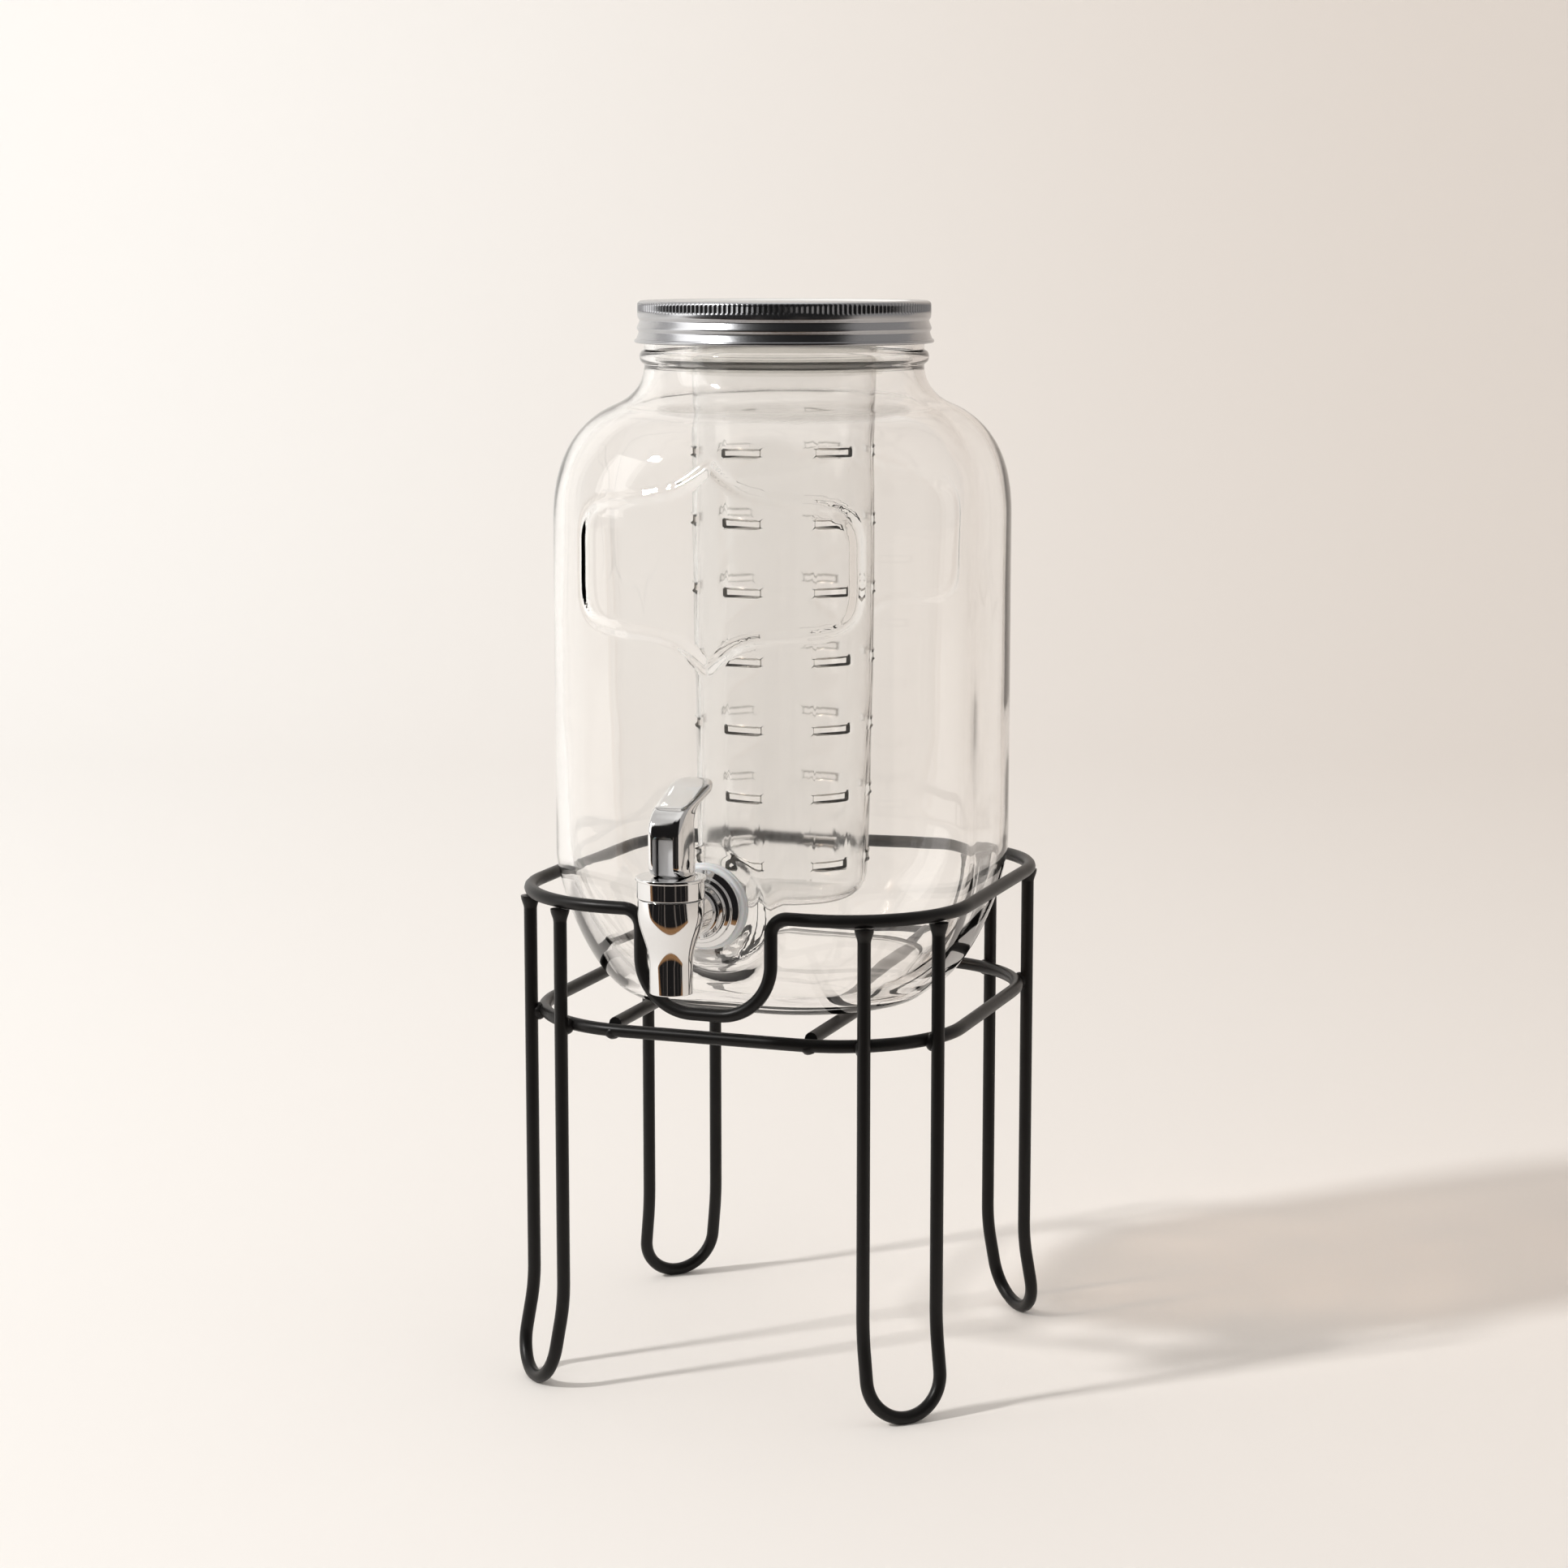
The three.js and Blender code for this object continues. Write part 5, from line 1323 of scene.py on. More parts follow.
@dataclass
class ScrewLid:
    """The tinned screw cap with its knurled edge, rolled beads and hem, and the gasket under it."""

    sheet: float = 0.5
    panel_radius: float = 46.0
    panel_depth: float = 0.8
    panel_step: float = 1.4
    edge_radius: float = 55.3
    edge_rounding: float = 1.7
    skirt_radius: float = 55.0
    knurl_top: float = 1.5
    knurl_drop: float = 4.6
    knurl_depth: float = 0.42
    ribs: int = 180
    steps_per_rib: int = 4
    skirt_knots: tuple[Point, ...] = (
        (0.0, 5.2), (-0.12, 6.2), (-0.62, 7.05), (-0.8, 7.45), (-0.66, 7.95), (-0.26, 8.95), (0.08, 9.8),
        (0.18, 10.3), (0.0, 10.8), (-0.4, 11.5), (-0.42, 11.9), (-0.1, 12.85), (0.25, 13.8), (0.45, 14.3),
    )
    hem_radius: float = 0.78
    hem_proud: float = 0.95
    hem_tuck: float = 0.05
    hem_turn: float = 1.2
    height: float = 15.8
    knurl_margin: float = 0.3
    knurl_lead: float = 0.4
    knurl_top_fade: float = 5.0
    knurl_foot_fade: float = 6.0
    groove_shade_share: float = 0.75
    inside_tilt: float = 0.2
    under_tilt: float = 0.5
    under_margin: float = 1.0
    sharp_degrees: float = 35.0

    def build(self) -> None:
        """Builds the cap and dresses the gasket under it."""
        self.place = Vector((0.0, middle("infuser_tube").y, top_of("lid_cap")))
        self.build_cap()
        dress_node("lid_liner", MILKY_SILICONE)

    def skirt(self) -> list[Point]:
        """Returns the skirt's wavy outline from the knurl down to the hem."""
        knots = [(self.edge_radius, -self.knurl_drop)]
        knots += [(self.edge_radius + out, -drop) for out, drop in self.skirt_knots]
        return [(p.x, p.y) for p in smooth_line(knots, 4)]

    def outline(self) -> list[Point]:
        """Returns the cap's closed section, from the middle of its top to the middle of its underside."""
        top = eased([
            (0.0, -self.panel_depth, 0.0),
            (self.panel_radius, -self.panel_depth, 0.7),
            (self.panel_radius + self.panel_step, 0.0, 0.8),
            (self.edge_radius - self.edge_rounding, 0.0, 0.0),
        ], closed=False)
        edge_middle = (self.edge_radius - self.edge_rounding, -self.edge_rounding)
        edge = arc(edge_middle, self.edge_rounding, QUARTER_TURN, 0.0, 6)[1:]
        knurl_step = (self.knurl_drop - self.knurl_top) / 8
        knurl = [(self.edge_radius, -self.knurl_top - knurl_step * i) for i in range(1, 8)]
        skirt = self.skirt()
        hem_out = self.hem_radius * self.hem_proud - self.hem_tuck
        hem_middle = (self.skirt_radius + hem_out, -self.height + self.hem_radius)
        hem = arc(hem_middle, self.hem_radius, self.hem_turn, -QUARTER_TURN, 10)
        inner = self.skirt_radius - self.sheet
        inner_foot = [(inner, -self.height), (inner, -self.skirt_knots[-1][1])]
        inner_skirt = [(r - self.sheet, z) for r, z in reversed(skirt[:-4:3])]
        under = [
            (self.edge_radius - self.edge_rounding, -self.sheet),
            (self.panel_radius + self.panel_step, -self.sheet),
            (self.panel_radius, -self.panel_depth - self.sheet),
            (0.0, -self.panel_depth - self.sheet),
        ]
        inner_edge = [(r - self.sheet, z) for r, z in reversed(edge[2:])]
        return [*top, *edge, *knurl, *skirt, *hem, *inner_foot, *inner_skirt, *inner_edge, *under]

    def build_cap(self) -> None:
        """Turns the cap, presses the knurl into its edge and paints shade into the knurl's grooves."""
        bm = bmesh.new()
        turn_outline(bm, self.outline(), self.ribs * self.steps_per_rib)
        # Painted shade: each vertex keeps how deep the knurl presses it, and the cap's metal is painted
        # darker there.
        painted_groove_shade = bm.verts.layers.float.new(PAINTED_GROOVE_SHADE)
        for vert in bm.verts:
            radius = math.hypot(vert.co.x, vert.co.y)
            below = vert.co.z < -self.knurl_drop - self.knurl_margin
            if radius < self.edge_radius - self.knurl_margin or below:
                continue
            start = self.knurl_top * self.knurl_lead
            along = (-vert.co.z - start) / (self.knurl_drop - start)
            if not 0 < along < 1:
                continue
            wave = 0.5 - 0.5 * math.cos(math.atan2(vert.co.y, vert.co.x) * self.ribs)
            pressed = wave * min(1.0, self.knurl_top_fade * along, self.knurl_foot_fade * (1 - along))
            vert[painted_groove_shade] = self.groove_shade_share * pressed
            depth = self.knurl_depth * pressed
            vert.co.x *= 1 - depth / radius
            vert.co.y *= 1 - depth / radius
        cap = finished(
            "tinned_cap", bm, TINNED_SHEET, Carrier.LID, ["lid_cap"], self.place, self.sharp_degrees,
        )
        cap.data.materials.append(PALE_LACQUER.material())
        under_radius = (self.skirt_radius - self.under_margin) * MM
        for face in cap.data.polygons:
            outward = Vector(face.center.xy) - self.place.xy * MM
            inside = face.normal.xy.dot(outward.normalized()) < -self.inside_tilt
            under = face.normal.z < -self.under_tilt and outward.length < under_radius
            face.material_index = int(inside or under)


def dress_node(node: str, finish: Finish) -> None:
    """Gives a carried-over CAD node a finish."""
    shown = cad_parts[node]
    for material_slot in shown.material_slots:
        material_slot.material = finish.material()
    LOG.info("%s: kept, dressed in %s", node, finish.name)


# The infuser

@dataclass
class FruitInfuser:
    """The clear slotted tube and the threaded collar it screws into."""

    radius: float = 35.0
    foot_radius: float = 32.6
    wall: float = 1.6
    foot_rounding: float = 9.0
    foot_shares: tuple[float, ...] = (0.33, 0.66, 1.0)
    rows: int = 7
    columns: int = 6
    pitch: float = 25.8
    slot_height: float = 5.2
    lowest_slot: float = 17.2
    slot_turn_degrees: float = -7.5
    steps_per_slot: int = 8
    frame_width: float = 0.8
    frame_proud: float = 0.55
    corner_pull: float = 0.35
    corner_reach: float = 0.2
    row_shares: tuple[float, ...] = (-1.0, -0.55, 0.55, 1.0)
    edge_tilt: float = 0.7
    collar_wall: float = 2.1
    collar_gap: float = 0.4
    collar_plate: float = 2.0
    collar_thread: float = 0.35
    collar_steps: int = 96
    sharp_degrees: float = 35.0

    def build(self) -> None:
        """Builds the tube and the collar."""
        self.axis_y = middle("infuser_tube").y
        self.length = top_of("infuser_tube") - foot_of("infuser_tube")
        self.build_tube()
        self.build_collar()

    def radius_at(self, height: float) -> float:
        """Returns the tube's outer radius at a height above its foot."""
        start = self.foot_rounding
        if height >= start:
            share = (height - start) / (self.length - start)
            return self.foot_radius + (self.radius - self.foot_radius) * share
        drop = start - height
        return self.foot_radius - start + math.sqrt(max(0.0, start ** 2 - drop ** 2))

    def level_heights(self) -> list[float]:
        """Returns the heights of the tube's rings, with four at the edges of each slot row."""
        half = self.slot_height / 2
        heights = [self.foot_rounding * (1 - math.cos(QUARTER_TURN * i / 8)) for i in range(1, 8)]
        heights.append(self.foot_rounding)
        for row in range(self.rows):
            middle_height = self.lowest_slot + row * self.pitch
            heights += [middle_height + half * share for share in self.row_shares]
            if row < self.rows - 1:
                heights.append(middle_height + self.pitch / 2)
        last = heights[-1]
        heights += [last + (self.length - last) * i / 5 for i in range(1, 6)]
        return heights

    def build_tube(self) -> None:
        """Builds the tube as one sheet with framed slots, closed at its foot, and gives it its wall."""
        steps = 2 * self.steps_per_slot * self.columns
        bm = bmesh.new()
        turned = math.radians(self.slot_turn_degrees) - QUARTER_TURN

        def ring(radius: float, height: float) -> list[Vector]:
            """Returns one ring of the tube, set out from the middle of a slot."""
            angles = [turned + FULL_TURN * i / steps for i in range(steps)]
            return [Vector((radius * math.cos(a), radius * math.sin(a), height)) for a in angles]

        heights = self.level_heights()
        flat = self.foot_radius - self.foot_rounding
        skin = RingSkin(bm, ring(LEAST, 0.0))
        for share in self.foot_shares:
            skin.grow(ring(flat * share, 0.0))
        for height in heights:
            skin.grow(ring(self.radius_at(height), height))
        bmesh.ops.remove_doubles(bm, verts=bm.verts, dist=2 * MERGE_WITHIN)
        bmesh.ops.recalc_face_normals(bm, faces=bm.faces)
        self.open_slots(bm, turned, steps)
        bm.normal_update()
        bmesh.ops.solidify(bm, geom=bm.faces[:], thickness=self.wall)
        place = Vector((0.0, self.axis_y, foot_of("infuser_tube")))
        tube = finished(
            "slotted_tube", bm, CLEAR_MOULDING, Carrier.INFUSER, ["infuser_tube"], place, self.sharp_degrees,
        )
        # Painted shade: the slot walls take the dark, faintly hazy finish.
        tube.data.materials.append(SLOT_WALL_SHADE.material())
        foot = (place.z + self.foot_rounding) * MM
        for face in tube.data.polygons:
            out = face.center - place * MM
            outward = Vector((out.x, out.y, 0.0)).normalized()
            if face.center.z > foot and abs(face.normal.dot(outward)) < self.edge_tilt:
                face.material_index = 1

    def open_slots(self, bm: Mesh, turned: float, steps: int) -> None:
        """Raises a frame round each slot and opens it."""
        step = FULL_TURN / steps
        half_slot = self.steps_per_slot / 2
        windows: dict[tuple[int, int], list[bmesh.types.BMFace]] = {}
        for face in bm.faces:
            centre = face.calc_center_median()
            row = round((centre.z - self.lowest_slot) / self.pitch)
            if not 0 <= row < self.rows:
                continue
            if abs(centre.z - self.lowest_slot - row * self.pitch) > self.slot_height / 2:
                continue
            if math.hypot(centre.x, centre.y) < self.foot_radius - 1:
                continue
            turn = ((math.atan2(centre.y, centre.x) - turned) / step) % steps
            column = round(turn / (2 * self.steps_per_slot))
            if abs(turn - column * 2 * self.steps_per_slot) > half_slot:
                continue
            windows.setdefault((row, column % self.columns), []).append(face)
        for faces in windows.values():
            bmesh.ops.inset_region(
                bm, faces=faces, thickness=self.frame_width, depth=self.frame_proud, use_boundary=True,
                use_even_offset=True, use_interpolate=False, use_relative_offset=False, use_edge_rail=False,
                use_outset=False,
            )
            self.round_corners(faces)
            bmesh.ops.delete(bm, geom=faces, context="FACES")

    def round_corners(self, faces: Sequence[bmesh.types.BMFace]) -> None:
        """Draws the corners of a slot in, so that they are round."""
        verts = {vert for face in faces for vert in face.verts}
        heights = [vert.co.z for vert in verts]
        low, high = min(heights), max(heights)
        chosen = set(faces)
        middle_place = sum((vert.co for vert in verts), Vector()) / len(verts)
        for vert in verts:
            inner = [face for face in vert.link_faces if face in chosen]
            to_edge = min(abs(vert.co.z - low), abs(vert.co.z - high))
            if len(inner) == 1 and to_edge < self.corner_reach:
                pull = middle_place - vert.co
                along = Vector((pull.x, pull.y, 0.0)).normalized() * self.corner_pull
                vert.co += along + Vector((0.0, 0.0, math.copysign(self.corner_pull, pull.z)))

    def build_collar(self) -> None:
        """Turns the collar under the cap, with its round thread lines."""
        inner = self.radius + self.collar_gap
        outer = inner + self.collar_wall
        top = top_of("infuser_socket")
        depth = top - foot_of("infuser_socket")
        outline = eased([
            (0.0, -self.collar_plate, 0.0),
            (inner, -self.collar_plate, 0.8),
            (inner, -depth, 0.4),
            (outer - 0.5, -depth, 0.4),
            (outer - 0.5, -depth + 2.5, 0.5),
            (outer, -depth + 3.2, 0.5),
            (outer, -8.0, 0.0), (outer - self.collar_thread, -7.2, 0.0), (outer, -6.4, 0.0),
            (outer, -4.4, 0.0), (outer - self.collar_thread, -3.6, 0.0), (outer, -2.8, 0.0),
            (outer, 0.0, 0.4),
            (0.0, 0.0, 0.0),
        ], closed=False)
        bm = bmesh.new()
        turn_outline(bm, outline, self.collar_steps)
        place = Vector((0.0, self.axis_y, top))
        nodes = ["infuser_socket"]
        finished("clear_collar", bm, THIN_MOULDING, Carrier.LID, nodes, place, self.sharp_degrees)


# The tap

@dataclass
class LeverTap:
    """The chromed lever tap: body, cap, forked lever, stem, gaskets and nut."""

    centre_height: float = 190.0
    standoff: float = 36.5
    barrel_radius: float = 11.8
    barrel_top: float = 9.2
    taper_top: float = 4.0
    taper_foot: float = -14.5
    taper_steps: int = 14
    nozzle_radius: float = 7.7
    nozzle_bore: float = 6.3
    nozzle_drop: float = 25.0
    nozzle_bore_height: float = 14.0
    chamber_radius: float = 8.6
    seat_drop: float = 5.0
    seat_bore: float = 4.6
    gasket_radius: float = 16.0
    gasket_thickness: float = 4.4
    gasket_step: float = 0.35
    gasket_rounding: float = 1.3
    flange_radius: float = 14.5
    flange_step: float = 12.2
    collar_radius: float = 10.4
    neck_radius: float = 8.6
    shank_radius: float = 7.5
    tail: float = 49.9
    gap: float = 0.3
    bonnet_radius: float = 12.1
    bonnet_rim: float = 12.59
    bonnet_rim_thickness: float = 1.3
    bonnet_low: float = 9.5
    bonnet_top: float = 17.0
    stem_radius: float = 3.0
    stem_collar_radius: float = 5.4
    stem_collar_height: float = 1.6
    stem_collar_top: float = 1.4
    stem_sides: int = 40
    head_bevel: float = 0.6
    head_width: float = 7.1
    head_depth: float = 7.0
    head_top: float = 30.5
    pin_rise: float = 21.5
    lever_width: float = 13.0
    paddle_width: float = 15.4
    paddle_rounding: float = 7.8
    paddle_power: float = 2.1
    leg_softness: float = 0.36
    paddle_softness: float = 0.5
    lever_reach: float = 28.0
    lever_steps: int = 4
    lever_sides: int = 40
    lever_sharp: float = 38.0
    bent_from: float = 5.0
    widens_from: float = 10.0
    most_reach: float = 0.999
    slot_width: float = 7.7
    slot_rise: float = 10.5
    slot_length: float = 60.0
    slot_depth: float = 40.0
    slot_rounding: float = 1.3
    hole_radius: float = 1.8
    hole_half: float = 20.0
    hole_sides: int = 24
    spring_wire: float = 0.8
    spring_turns: int = 5
    spring_steps: int = 24
    steps: int = 72

    def build(self) -> None:
        """Builds every piece of the tap."""
        self.place = Vector((0.0, middle("lever_pin").y, self.centre_height))
        self.build_body()
        self.build_bonnet()
        self.build_gasket()
        self.build_stem()
        self.build_lever()
        dress_node("lever_pin", DRAWN_STEEL)
        self.build_spring()
        dress_node("seat_cup", MILKY_SILICONE)
        dress_node("inner_washer", MILKY_SILICONE)
        dress_node("shank_nut", SATIN_GREY)

    def barrel_outline(self) -> list[Point]:
        """Returns the section of barrel and nozzle, outside and bore."""
        foot = -self.nozzle_drop
        outside = [(self.nozzle_bore, foot, 0.0), (self.nozzle_radius + 0.1, foot, 0.35)]
        for i in range(self.taper_steps + 1):
            share = i / self.taper_steps
            radius = self.nozzle_radius + (self.barrel_radius - self.nozzle_radius) * soft_step(share)
            outside.append((radius, self.taper_foot + (self.taper_top - self.taper_foot) * share, 0.0))
        outside += [(self.barrel_radius, self.barrel_top, 0.3), (self.chamber_radius, self.barrel_top, 0.0)]
        bore_top = foot + self.nozzle_bore_height
        bore = [
            (self.chamber_radius, -self.seat_drop, 0.0),
            (self.seat_bore, -self.seat_drop, 0.0),
            (self.seat_bore, bore_top + self.nozzle_bore - self.seat_bore, 0.0),
            (self.nozzle_bore, bore_top, 0.0),
        ]
        return eased([*outside, *bore])

    def shank_outline(self) -> list[Point]:
        """Returns the section of flange, neck and shank, in distances in front of the barrel's axis."""
        flange_back = -(self.standoff - 2 * self.gap - self.gasket_thickness)

        def back(length: float) -> float:
            """Returns the place a length in front of the flange's back."""
            return flange_back + length

        return eased([
            (0.0, -self.tail, 0.0),
            (self.shank_radius, -self.tail, 0.5),
            (self.shank_radius, flange_back, 0.0),
            (self.flange_radius, flange_back, 0.3),
            (self.flange_radius, back(1.5), 0.6),
            (self.flange_step, back(2.9), 0.8),
            (self.flange_step, back(4.2), 0.5),
            (self.collar_radius + 0.3, back(5.0), 0.5),
            (self.collar_radius, back(6.6), 0.5),
            (self.neck_radius, back(6.7), 0.3),
            (self.neck_radius, -self.chamber_radius + 0.5, 0.0),
            (0.0, -self.chamber_radius + 0.5, 0.0),
        ], closed=False)

    def build_body(self) -> None:
        """Turns the barrel and the shank and joins them in one piece."""
        bm = bmesh.new()
        turn_outline(bm, self.barrel_outline(), self.steps)
        turn_outline(bm, self.shank_outline(), self.steps, Facing.FORWARD)
        finished("tap_barrel", bm, BRIGHT_CHROME, Carrier.JAR, ["tap_body"], self.place, 30.0)

    def build_bonnet(self) -> None:
        """Turns the cap on the barrel, with its thin top rim."""
        rim_low = self.bonnet_top - self.bonnet_rim_thickness
        bore = self.stem_radius + self.gap
        outline = eased([
            (bore, self.bonnet_low, 0.0),
            (self.bonnet_radius, self.bonnet_low, 0.35),
            (self.bonnet_radius, rim_low, 0.25),
            (self.bonnet_rim, rim_low + 0.2, 0.3),
            (self.bonnet_rim, self.bonnet_top, 0.4),
            (bore, self.bonnet_top, 0.3),
        ])
        bm = bmesh.new()
        turn_outline(bm, outline, self.steps)
        finished("tap_cap", bm, BRIGHT_CHROME, Carrier.JAR, ["tap_bonnet"], self.place, 30.0)

    def build_gasket(self) -> None:
        """Turns the milky gasket between flange and glass."""
        back = -(self.standoff - self.gap)
        front = back + self.gasket_thickness
        bore = self.shank_radius + self.gap
        outline = eased([
            (bore, back, 0.0),
            (self.gasket_radius, back, 0.5),
            (self.gasket_radius, back + 1.4, 0.3),
            (self.gasket_radius - self.gasket_step, back + 1.8, 0.3),
            (self.gasket_radius - self.gasket_step, front, self.gasket_rounding),
            (bore, front, 0.0),
        ])
        bm = bmesh.new()
        turn_outline(bm, outline, self.steps, Facing.FORWARD)
        finished("gasket_ring", bm, MILKY_SILICONE, Carrier.JAR, ["outer_washer"], self.place, 35.0)

    def build_stem(self) -> None:
        """Builds the stem: round shaft, collar and the flat head between the fork's legs."""
        bm = bmesh.new()
        low = foot_of("valve_stem") - self.centre_height
        collar_low = self.stem_collar_top - self.stem_collar_height
        turn_outline(bm, eased([
            (0.0, low, 0.0),
            (self.stem_radius, low, 0.2),
            (self.stem_radius, collar_low, 0.0),
            (self.stem_collar_radius, collar_low, 0.2),
            (self.stem_collar_radius, self.stem_collar_top, 0.2),
            (self.stem_radius, self.stem_collar_top, 0.0),
            (self.stem_radius, self.pin_rise - 1.0, 0.0),
            (0.0, self.pin_rise - 1.0, 0.0),
        ], closed=False), self.stem_sides)
        head_low = self.bonnet_top + self.gap
        made = bmesh.ops.create_cube(bm, size=1.0)["verts"]
        size = Matrix.Diagonal((self.head_width, self.head_depth, self.head_top - head_low, 1.0))
        shift = Matrix.Translation((0.0, 0.0, (self.head_top + head_low) / 2))
        bmesh.ops.transform(bm, matrix=shift @ size, verts=made)
        edges = list({edge for vert in made for edge in vert.link_edges})
        round_edges(bm, edges, self.head_bevel, 3)
        finished("grey_stem", bm, SATIN_GREY, Carrier.STEM, ["valve_stem"], self.place, 35.0)

    def build_spring(self) -> None:
        """Winds the closing spring, which shortens between the cap and the rising stem."""
        low, high = (Vector(corner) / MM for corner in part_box("closing_spring"))
        radius = (high.x - low.x - self.spring_wire) / 2
        steps = self.spring_turns * self.spring_steps
        places = []
        for i in range(steps + 1):
            angle = FULL_TURN * i / self.spring_steps
            across = Vector((radius * math.cos(angle), self.place.y + radius * math.sin(angle), 0.0))
            rise = low.z + self.spring_wire / 2 + (high.z - low.z - self.spring_wire) * i / steps
            places.append(across + Vector((0.0, 0.0, rise)))
        mesh = wire_mesh(places, self.spring_wire / 2, False)
        spring = dressed("wound_spring", mesh, DRAWN_STEEL, None, ["closing_spring"])
        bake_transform(spring)

    def lever_pairs(self) -> list[tuple[float, float, float, float]]:
        """Returns front and back points of the lever's side view, from heel to tip, about its pin."""
        return [
            (-2.9, -4.2, 9.3, -4.2),
            (-5.1, -3.4, 9.9, -3.6),
            (-7.0, -1.9, 10.0, -2.0),
            (-7.8, 0.2, 10.0, 0.4),
            (-7.9, 4.0, 10.0, 4.1),
            (-7.9, 8.0, 9.5, 8.0),
            (-7.8, 11.6, 9.05, 11.4),
            (-7.1, 14.4, 9.0, 14.0),
            (-5.6, 16.6, 9.4, 15.9),
            (-3.4, 18.4, 10.2, 17.4),
            (-0.5, 19.9, 11.4, 18.6),
            (3.6, 21.2, 13.1, 19.7),
            (8.4, 22.5, 15.4, 20.7),
            (13.4, 24.1, 17.8, 21.6),
            (18.2, 25.7, 20.4, 22.6),
            (22.4, 26.7, 23.1, 23.5),
            (25.6, 27.15, 25.7, 24.3),
            (27.4, 27.0, 27.3, 24.9),
            (27.95, 26.5, 27.9, 25.6),
        ]

    def build_lever(self) -> None:
        """Draws the lever's skin from heel to tip, then cuts its slot and the hole for the pin."""
        bm = bmesh.new()
        skin = None
        for section in smooth_line(self.lever_pairs(), self.lever_steps):
            points = self.lever_ring(section)
            if skin is None:
                skin = RingSkin(bm, points)
                skin.close()
            else:
                skin.grow(points)
        skin.close()
        pin = self.place + Vector((0.0, 0.0, self.pin_rise))
        sharp = self.lever_sharp
        handle = finished("tap_handle", bm, BRIGHT_CHROME, Carrier.LEVER, ["tap_lever"], pin, sharp)
        cut_away(handle, self.slot_cutter(), pin)
        cut_away(handle, self.hole_cutter(), pin)
        handle.data.shade_smooth()
        handle.data.set_sharp_from_angle(angle=math.radians(sharp))

    def lever_ring(self, section: Sequence[float]) -> list[Vector]:
        """Returns the ring of points round the lever at a front and a back point of its side view."""
        front = Vector((0.0, section[0], section[1]))
        back = Vector((0.0, section[2], section[3]))
        round_start = self.lever_reach - self.paddle_rounding
        reach = max(front.y, back.y) if front.y > self.bent_from else back.y
        share = within((reach - self.widens_from) / (round_start - self.widens_from))
        half = (self.lever_width + (self.paddle_width - self.lever_width) * share) / 2
        if reach > round_start:
            past = min(self.most_reach, (reach - round_start) / self.paddle_rounding)
            half *= (1 - past ** self.paddle_power) ** (1 / self.paddle_power)
        softness = self.leg_softness + (self.paddle_softness - self.leg_softness) * share
        points = []
        for i in range(self.lever_sides):
            angle = FULL_TURN * i / self.lever_sides
            across = math.copysign(abs(math.cos(angle)) ** softness, math.cos(angle)) * half
            along = math.copysign(abs(math.sin(angle)) ** softness, math.sin(angle))
            points.append(Vector((across, 0.0, 0.0)) + (front + back) / 2 + (front - back) / 2 * along)
        return points

    def slot_cutter(self) -> Mesh:
        """Returns the block that cuts the slot between the lever's legs, round at its top."""
        slot = bmesh.new()
        made = bmesh.ops.create_cube(slot, size=1.0)["verts"]
        size = Matrix.Diagonal((self.slot_width, self.slot_length, self.slot_depth, 1.0))
        shift = Matrix.Translation((0.0, 0.0, self.slot_rise - self.slot_depth / 2))
        bmesh.ops.transform(slot, matrix=shift @ size, verts=made)
        top_edges = []
        for edge in slot.edges:
            first, second = (vert.co for vert in edge.verts)
            at_top = min(first.z, second.z) > self.slot_rise - 0.01
            if at_top and abs(first.x - second.x) < 0.01:
                top_edges.append(edge)
        round_edges(slot, top_edges, self.slot_rounding, 4)
        return slot

    def hole_cutter(self) -> Mesh:
        """Returns the cylinder that cuts the hole for the pin."""
        hole = bmesh.new()
        outline = [
            (0.0, -self.hole_half), (self.hole_radius, -self.hole_half),
            (self.hole_radius, self.hole_half), (0.0, self.hole_half),
        ]
        turn_outline(hole, outline, self.hole_sides)
        sideways = Matrix.Rotation(QUARTER_TURN, 3, "Y")
        bmesh.ops.rotate(hole, verts=hole.verts, cent=(0, 0, 0), matrix=sideways)
        return hole


# The studio

@dataclass
class Viewpoint:
    """The photograph's camera."""

    place: tuple[float, float, float] = (0.44756, -1.22977, 0.42599)
    pitch: float = math.radians(8.69)
    azimuth: float = math.radians(19.68)
    lens: float = 80.38

    def build(self) -> None:
        """Sets up the camera."""
        data = bpy.data.cameras.new("photo_camera")
        data.lens = self.lens
        data.clip_end = 50.0
        camera = bpy.data.objects.new("photo_camera", data)
        camera.location = self.place
        camera.rotation_euler = (QUARTER_TURN - self.pitch, 0.0, self.azimuth)
        bpy.context.scene.collection.objects.link(camera)
        bpy.context.scene.camera = camera


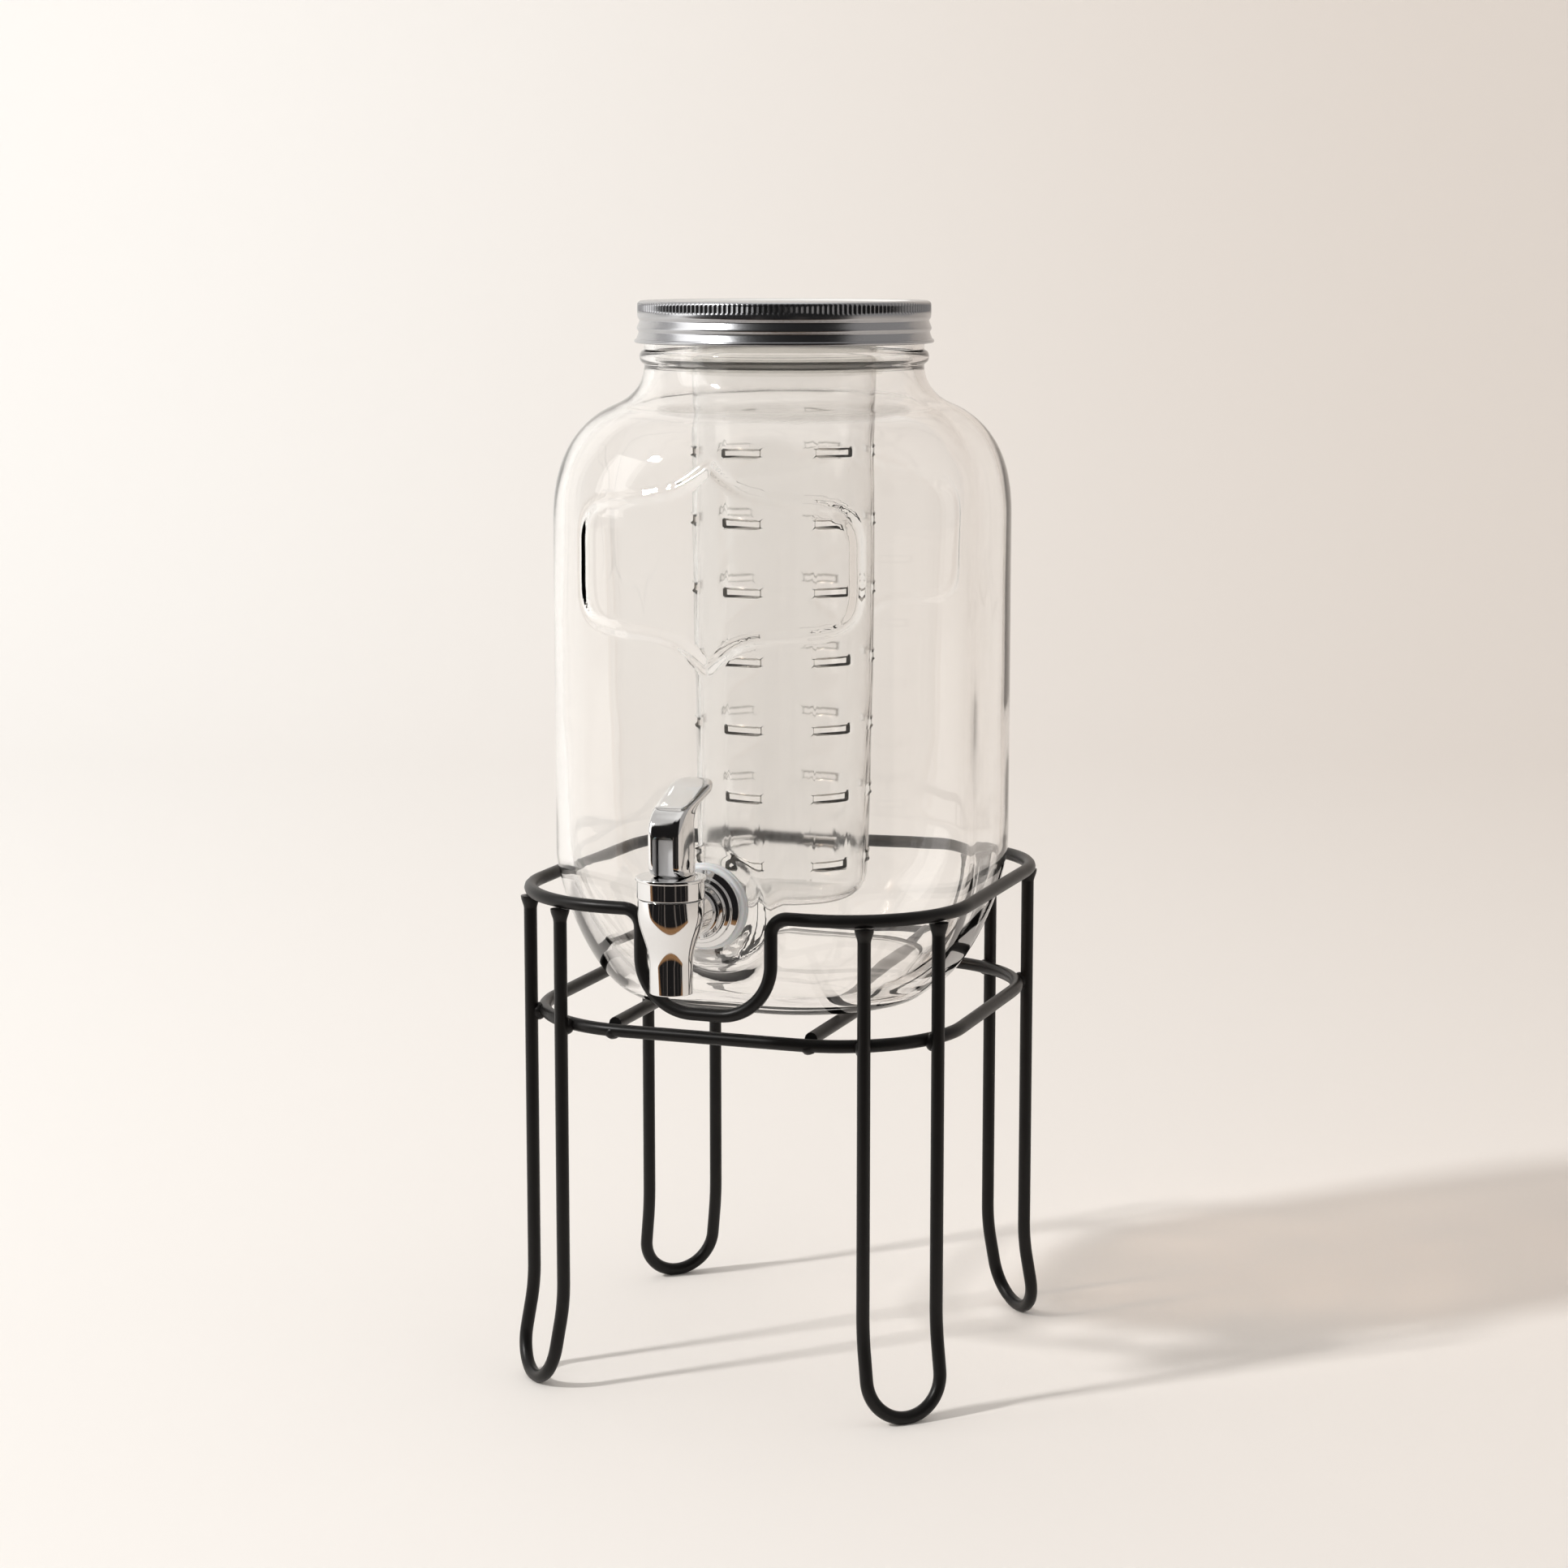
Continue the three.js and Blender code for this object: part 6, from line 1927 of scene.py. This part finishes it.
@dataclass
class Studio:
    """A seamless cream sweep and soft light from the front left."""

    floor_front: float = 4.0
    floor_back: float = 3.2
    half_width: float = 5.0
    bend_radius: float = 1.6
    bend_steps: int = 32
    wall_height: float = 3.4
    key_azimuth: float = math.radians(225.3)
    key_height: float = math.radians(39.0)
    key_distance: float = 6.0
    key_size: float = 0.46
    key_power: float = 218.0
    aim_height: float = 0.2
    soft_place: tuple[float, float, float] = (-2.0, -0.9, 1.0)
    soft_width: float = 1.0
    soft_height: float = 1.5
    soft_power: float = 7.0
    lamp_colour: Colour = (1.0, 0.985, 0.965)
    sky_strength: float = 0.62
    seen_strength: float = 0.95
    room_left_low: float = -1.25
    room_left_high: float = -0.88
    left_starts: float = 0.3
    left_ends: float = 0.7
    edge_softness: float = 0.12
    room_right: float = 1.1
    room_right_inner: float = 0.85
    room_top: float = 0.99
    room_top_inner: float = 0.88
    side_end: float = 2.9
    side_inner: float = 2.3
    left_dimness: float = 0.45
    right_dimness: float = 0.8
    dim_side: Colour = (0.27, 0.25, 0.24)

    def build(self) -> None:
        """Builds sweep, lamps and surrounding light."""
        self.build_sweep()
        away = Vector((
            math.cos(self.key_azimuth) * math.cos(self.key_height),
            math.sin(self.key_azimuth) * math.cos(self.key_height),
            math.sin(self.key_height),
        )) * self.key_distance
        aim = Vector((0.0, 0.0, self.aim_height))
        self.add_lamp("key_light", away + aim, self.key_size, self.key_size, self.key_power)
        place = Vector(self.soft_place)
        self.add_lamp("left_softbox", place, self.soft_width, self.soft_height, self.soft_power)
        self.build_sky()

    def build_sweep(self) -> None:
        """Builds the floor that bends up into the backdrop, square to the camera."""
        radius = self.bend_radius
        profile = [(-self.floor_front, 0.0)]
        profile += arc((self.floor_back - radius, radius), radius, -QUARTER_TURN, 0.0, self.bend_steps)
        profile += [(self.floor_back, self.wall_height)]
        bm = bmesh.new()
        verts = [bm.verts.new((-self.half_width, y, z)) for y, z in profile]
        edges = [bm.edges.new(pair) for pair in zip(verts, verts[1:])]
        made = bmesh.ops.extrude_edge_only(bm, edges=edges)["geom"]
        moved = [item for item in made if isinstance(item, bmesh.types.BMVert)]
        bmesh.ops.translate(bm, vec=(2 * self.half_width, 0.0, 0.0), verts=moved)
        to_camera = Matrix.Rotation(Viewpoint.azimuth, 3, "Z")
        bmesh.ops.rotate(bm, verts=bm.verts, cent=(0, 0, 0), matrix=to_camera)
        bmesh.ops.recalc_face_normals(bm, faces=bm.faces)
        if bm.faces[0].normal.z < 0:
            bmesh.ops.reverse_faces(bm, faces=bm.faces)
        mesh = bpy.data.meshes.new("paper_sweep")
        bm.to_mesh(mesh)
        bm.free()
        mesh.shade_smooth()
        mesh.materials.append(CREAM_PAPER.material())
        sweep = bpy.data.objects.new("paper_sweep", mesh)
        bpy.context.scene.collection.objects.link(sweep)

    def add_lamp(self, name: str, place: Vector, width: float, height: float, power: float) -> None:
        """Adds a soft lamp that faces the dispenser."""
        data = bpy.data.lights.new(name, "AREA")
        data.shape = "RECTANGLE"
        data.size = width
        data.size_y = height
        data.energy = power
        data.color = self.lamp_colour
        lamp = bpy.data.objects.new(name, data)
        lamp.location = place
        aim = Vector((0.0, 0.0, 0.2)) - place
        lamp.rotation_euler = aim.to_track_quat("-Z", "Y").to_euler()
        bpy.context.scene.collection.objects.link(lamp)

    def build_sky(self) -> None:
        """Builds the light around the sweep, which lights the dispenser more softly than it is seen."""
        world = bpy.data.worlds.new("room")
        bpy.context.scene.world = world
        world.use_nodes = True
        board = NodeBoard(world.node_tree)
        rays = board.add("ShaderNodeLightPath").outputs
        seen, mirrored, passed = rays["Is Camera Ray"], rays["Is Glossy Ray"], rays["Is Transmission Ray"]
        unseen = board.blend(mirrored, WARM_WHITE, self.mirrored_sky(board))
        colour = board.blend(seen, unseen, BACKDROP_WHITE)
        direct = board.maths("MAXIMUM", board.maths("MAXIMUM", seen, mirrored), passed)
        strength = board.between(direct, self.sky_strength, self.seen_strength)
        background = board.add("ShaderNodeBackground", {"Color": colour, "Strength": strength})
        output = board.add("ShaderNodeOutputWorld")
        world.node_tree.links.new(background.outputs[0], output.inputs["Surface"])

    def mirrored_sky(self, board: NodeBoard) -> Socket:
        """Returns what polished surfaces see: pale light, dimmer at the sides, and the dark room."""
        direction = board.add("ShaderNodeTexCoord").outputs["Generated"]
        rotation = (0.0, 0.0, -Viewpoint.azimuth)
        turned = board.add("ShaderNodeMapping", {"Vector": direction, "Rotation": rotation}).outputs[0]
        across, behind, up = board.add("ShaderNodeSeparateXYZ", {0: turned}).outputs
        turn = board.maths("ARCTAN2", across, board.maths("MULTIPLY", behind, -1.0))
        edge = board.ramp(
            up, self.left_starts, self.left_ends, self.room_left_low, self.room_left_high, smooth=True,
        )
        past_edge = board.maths("SUBTRACT", turn, edge)
        past_left = board.ramp(past_edge, -self.edge_softness, self.edge_softness, smooth=True)
        before_right = board.ramp(turn, self.room_right, self.room_right_inner, smooth=True)
        low = board.ramp(up, self.room_top, self.room_top_inner, smooth=True)
        to_side = board.ramp(board.maths("ABSOLUTE", turn), self.side_end, self.side_inner, smooth=True)
        on_right = board.maths("GREATER_THAN", turn, 0.0)
        dimness = board.between(on_right, self.left_dimness, self.right_dimness)
        around = board.blend(board.product(to_side, dimness, low), WARM_WHITE, self.dim_side)
        return board.blend(board.product(past_left, before_right, low), around, room_colour(board))


def main() -> None:
    """Builds the camera, the dispenser and the studio, in that order."""
    logging.basicConfig(level=logging.INFO, format="%(name)s: %(message)s")
    scene = bpy.context.scene
    scene.view_settings.view_transform = "Standard"
    for part in (Viewpoint(), WireStand(), GlassJar(), ScrewLid(), FruitInfuser(), LeverTap(), Studio()):
        LOG.info("building %s", type(part).__name__)
        part.build()


if __name__ == "__main__":
    main()
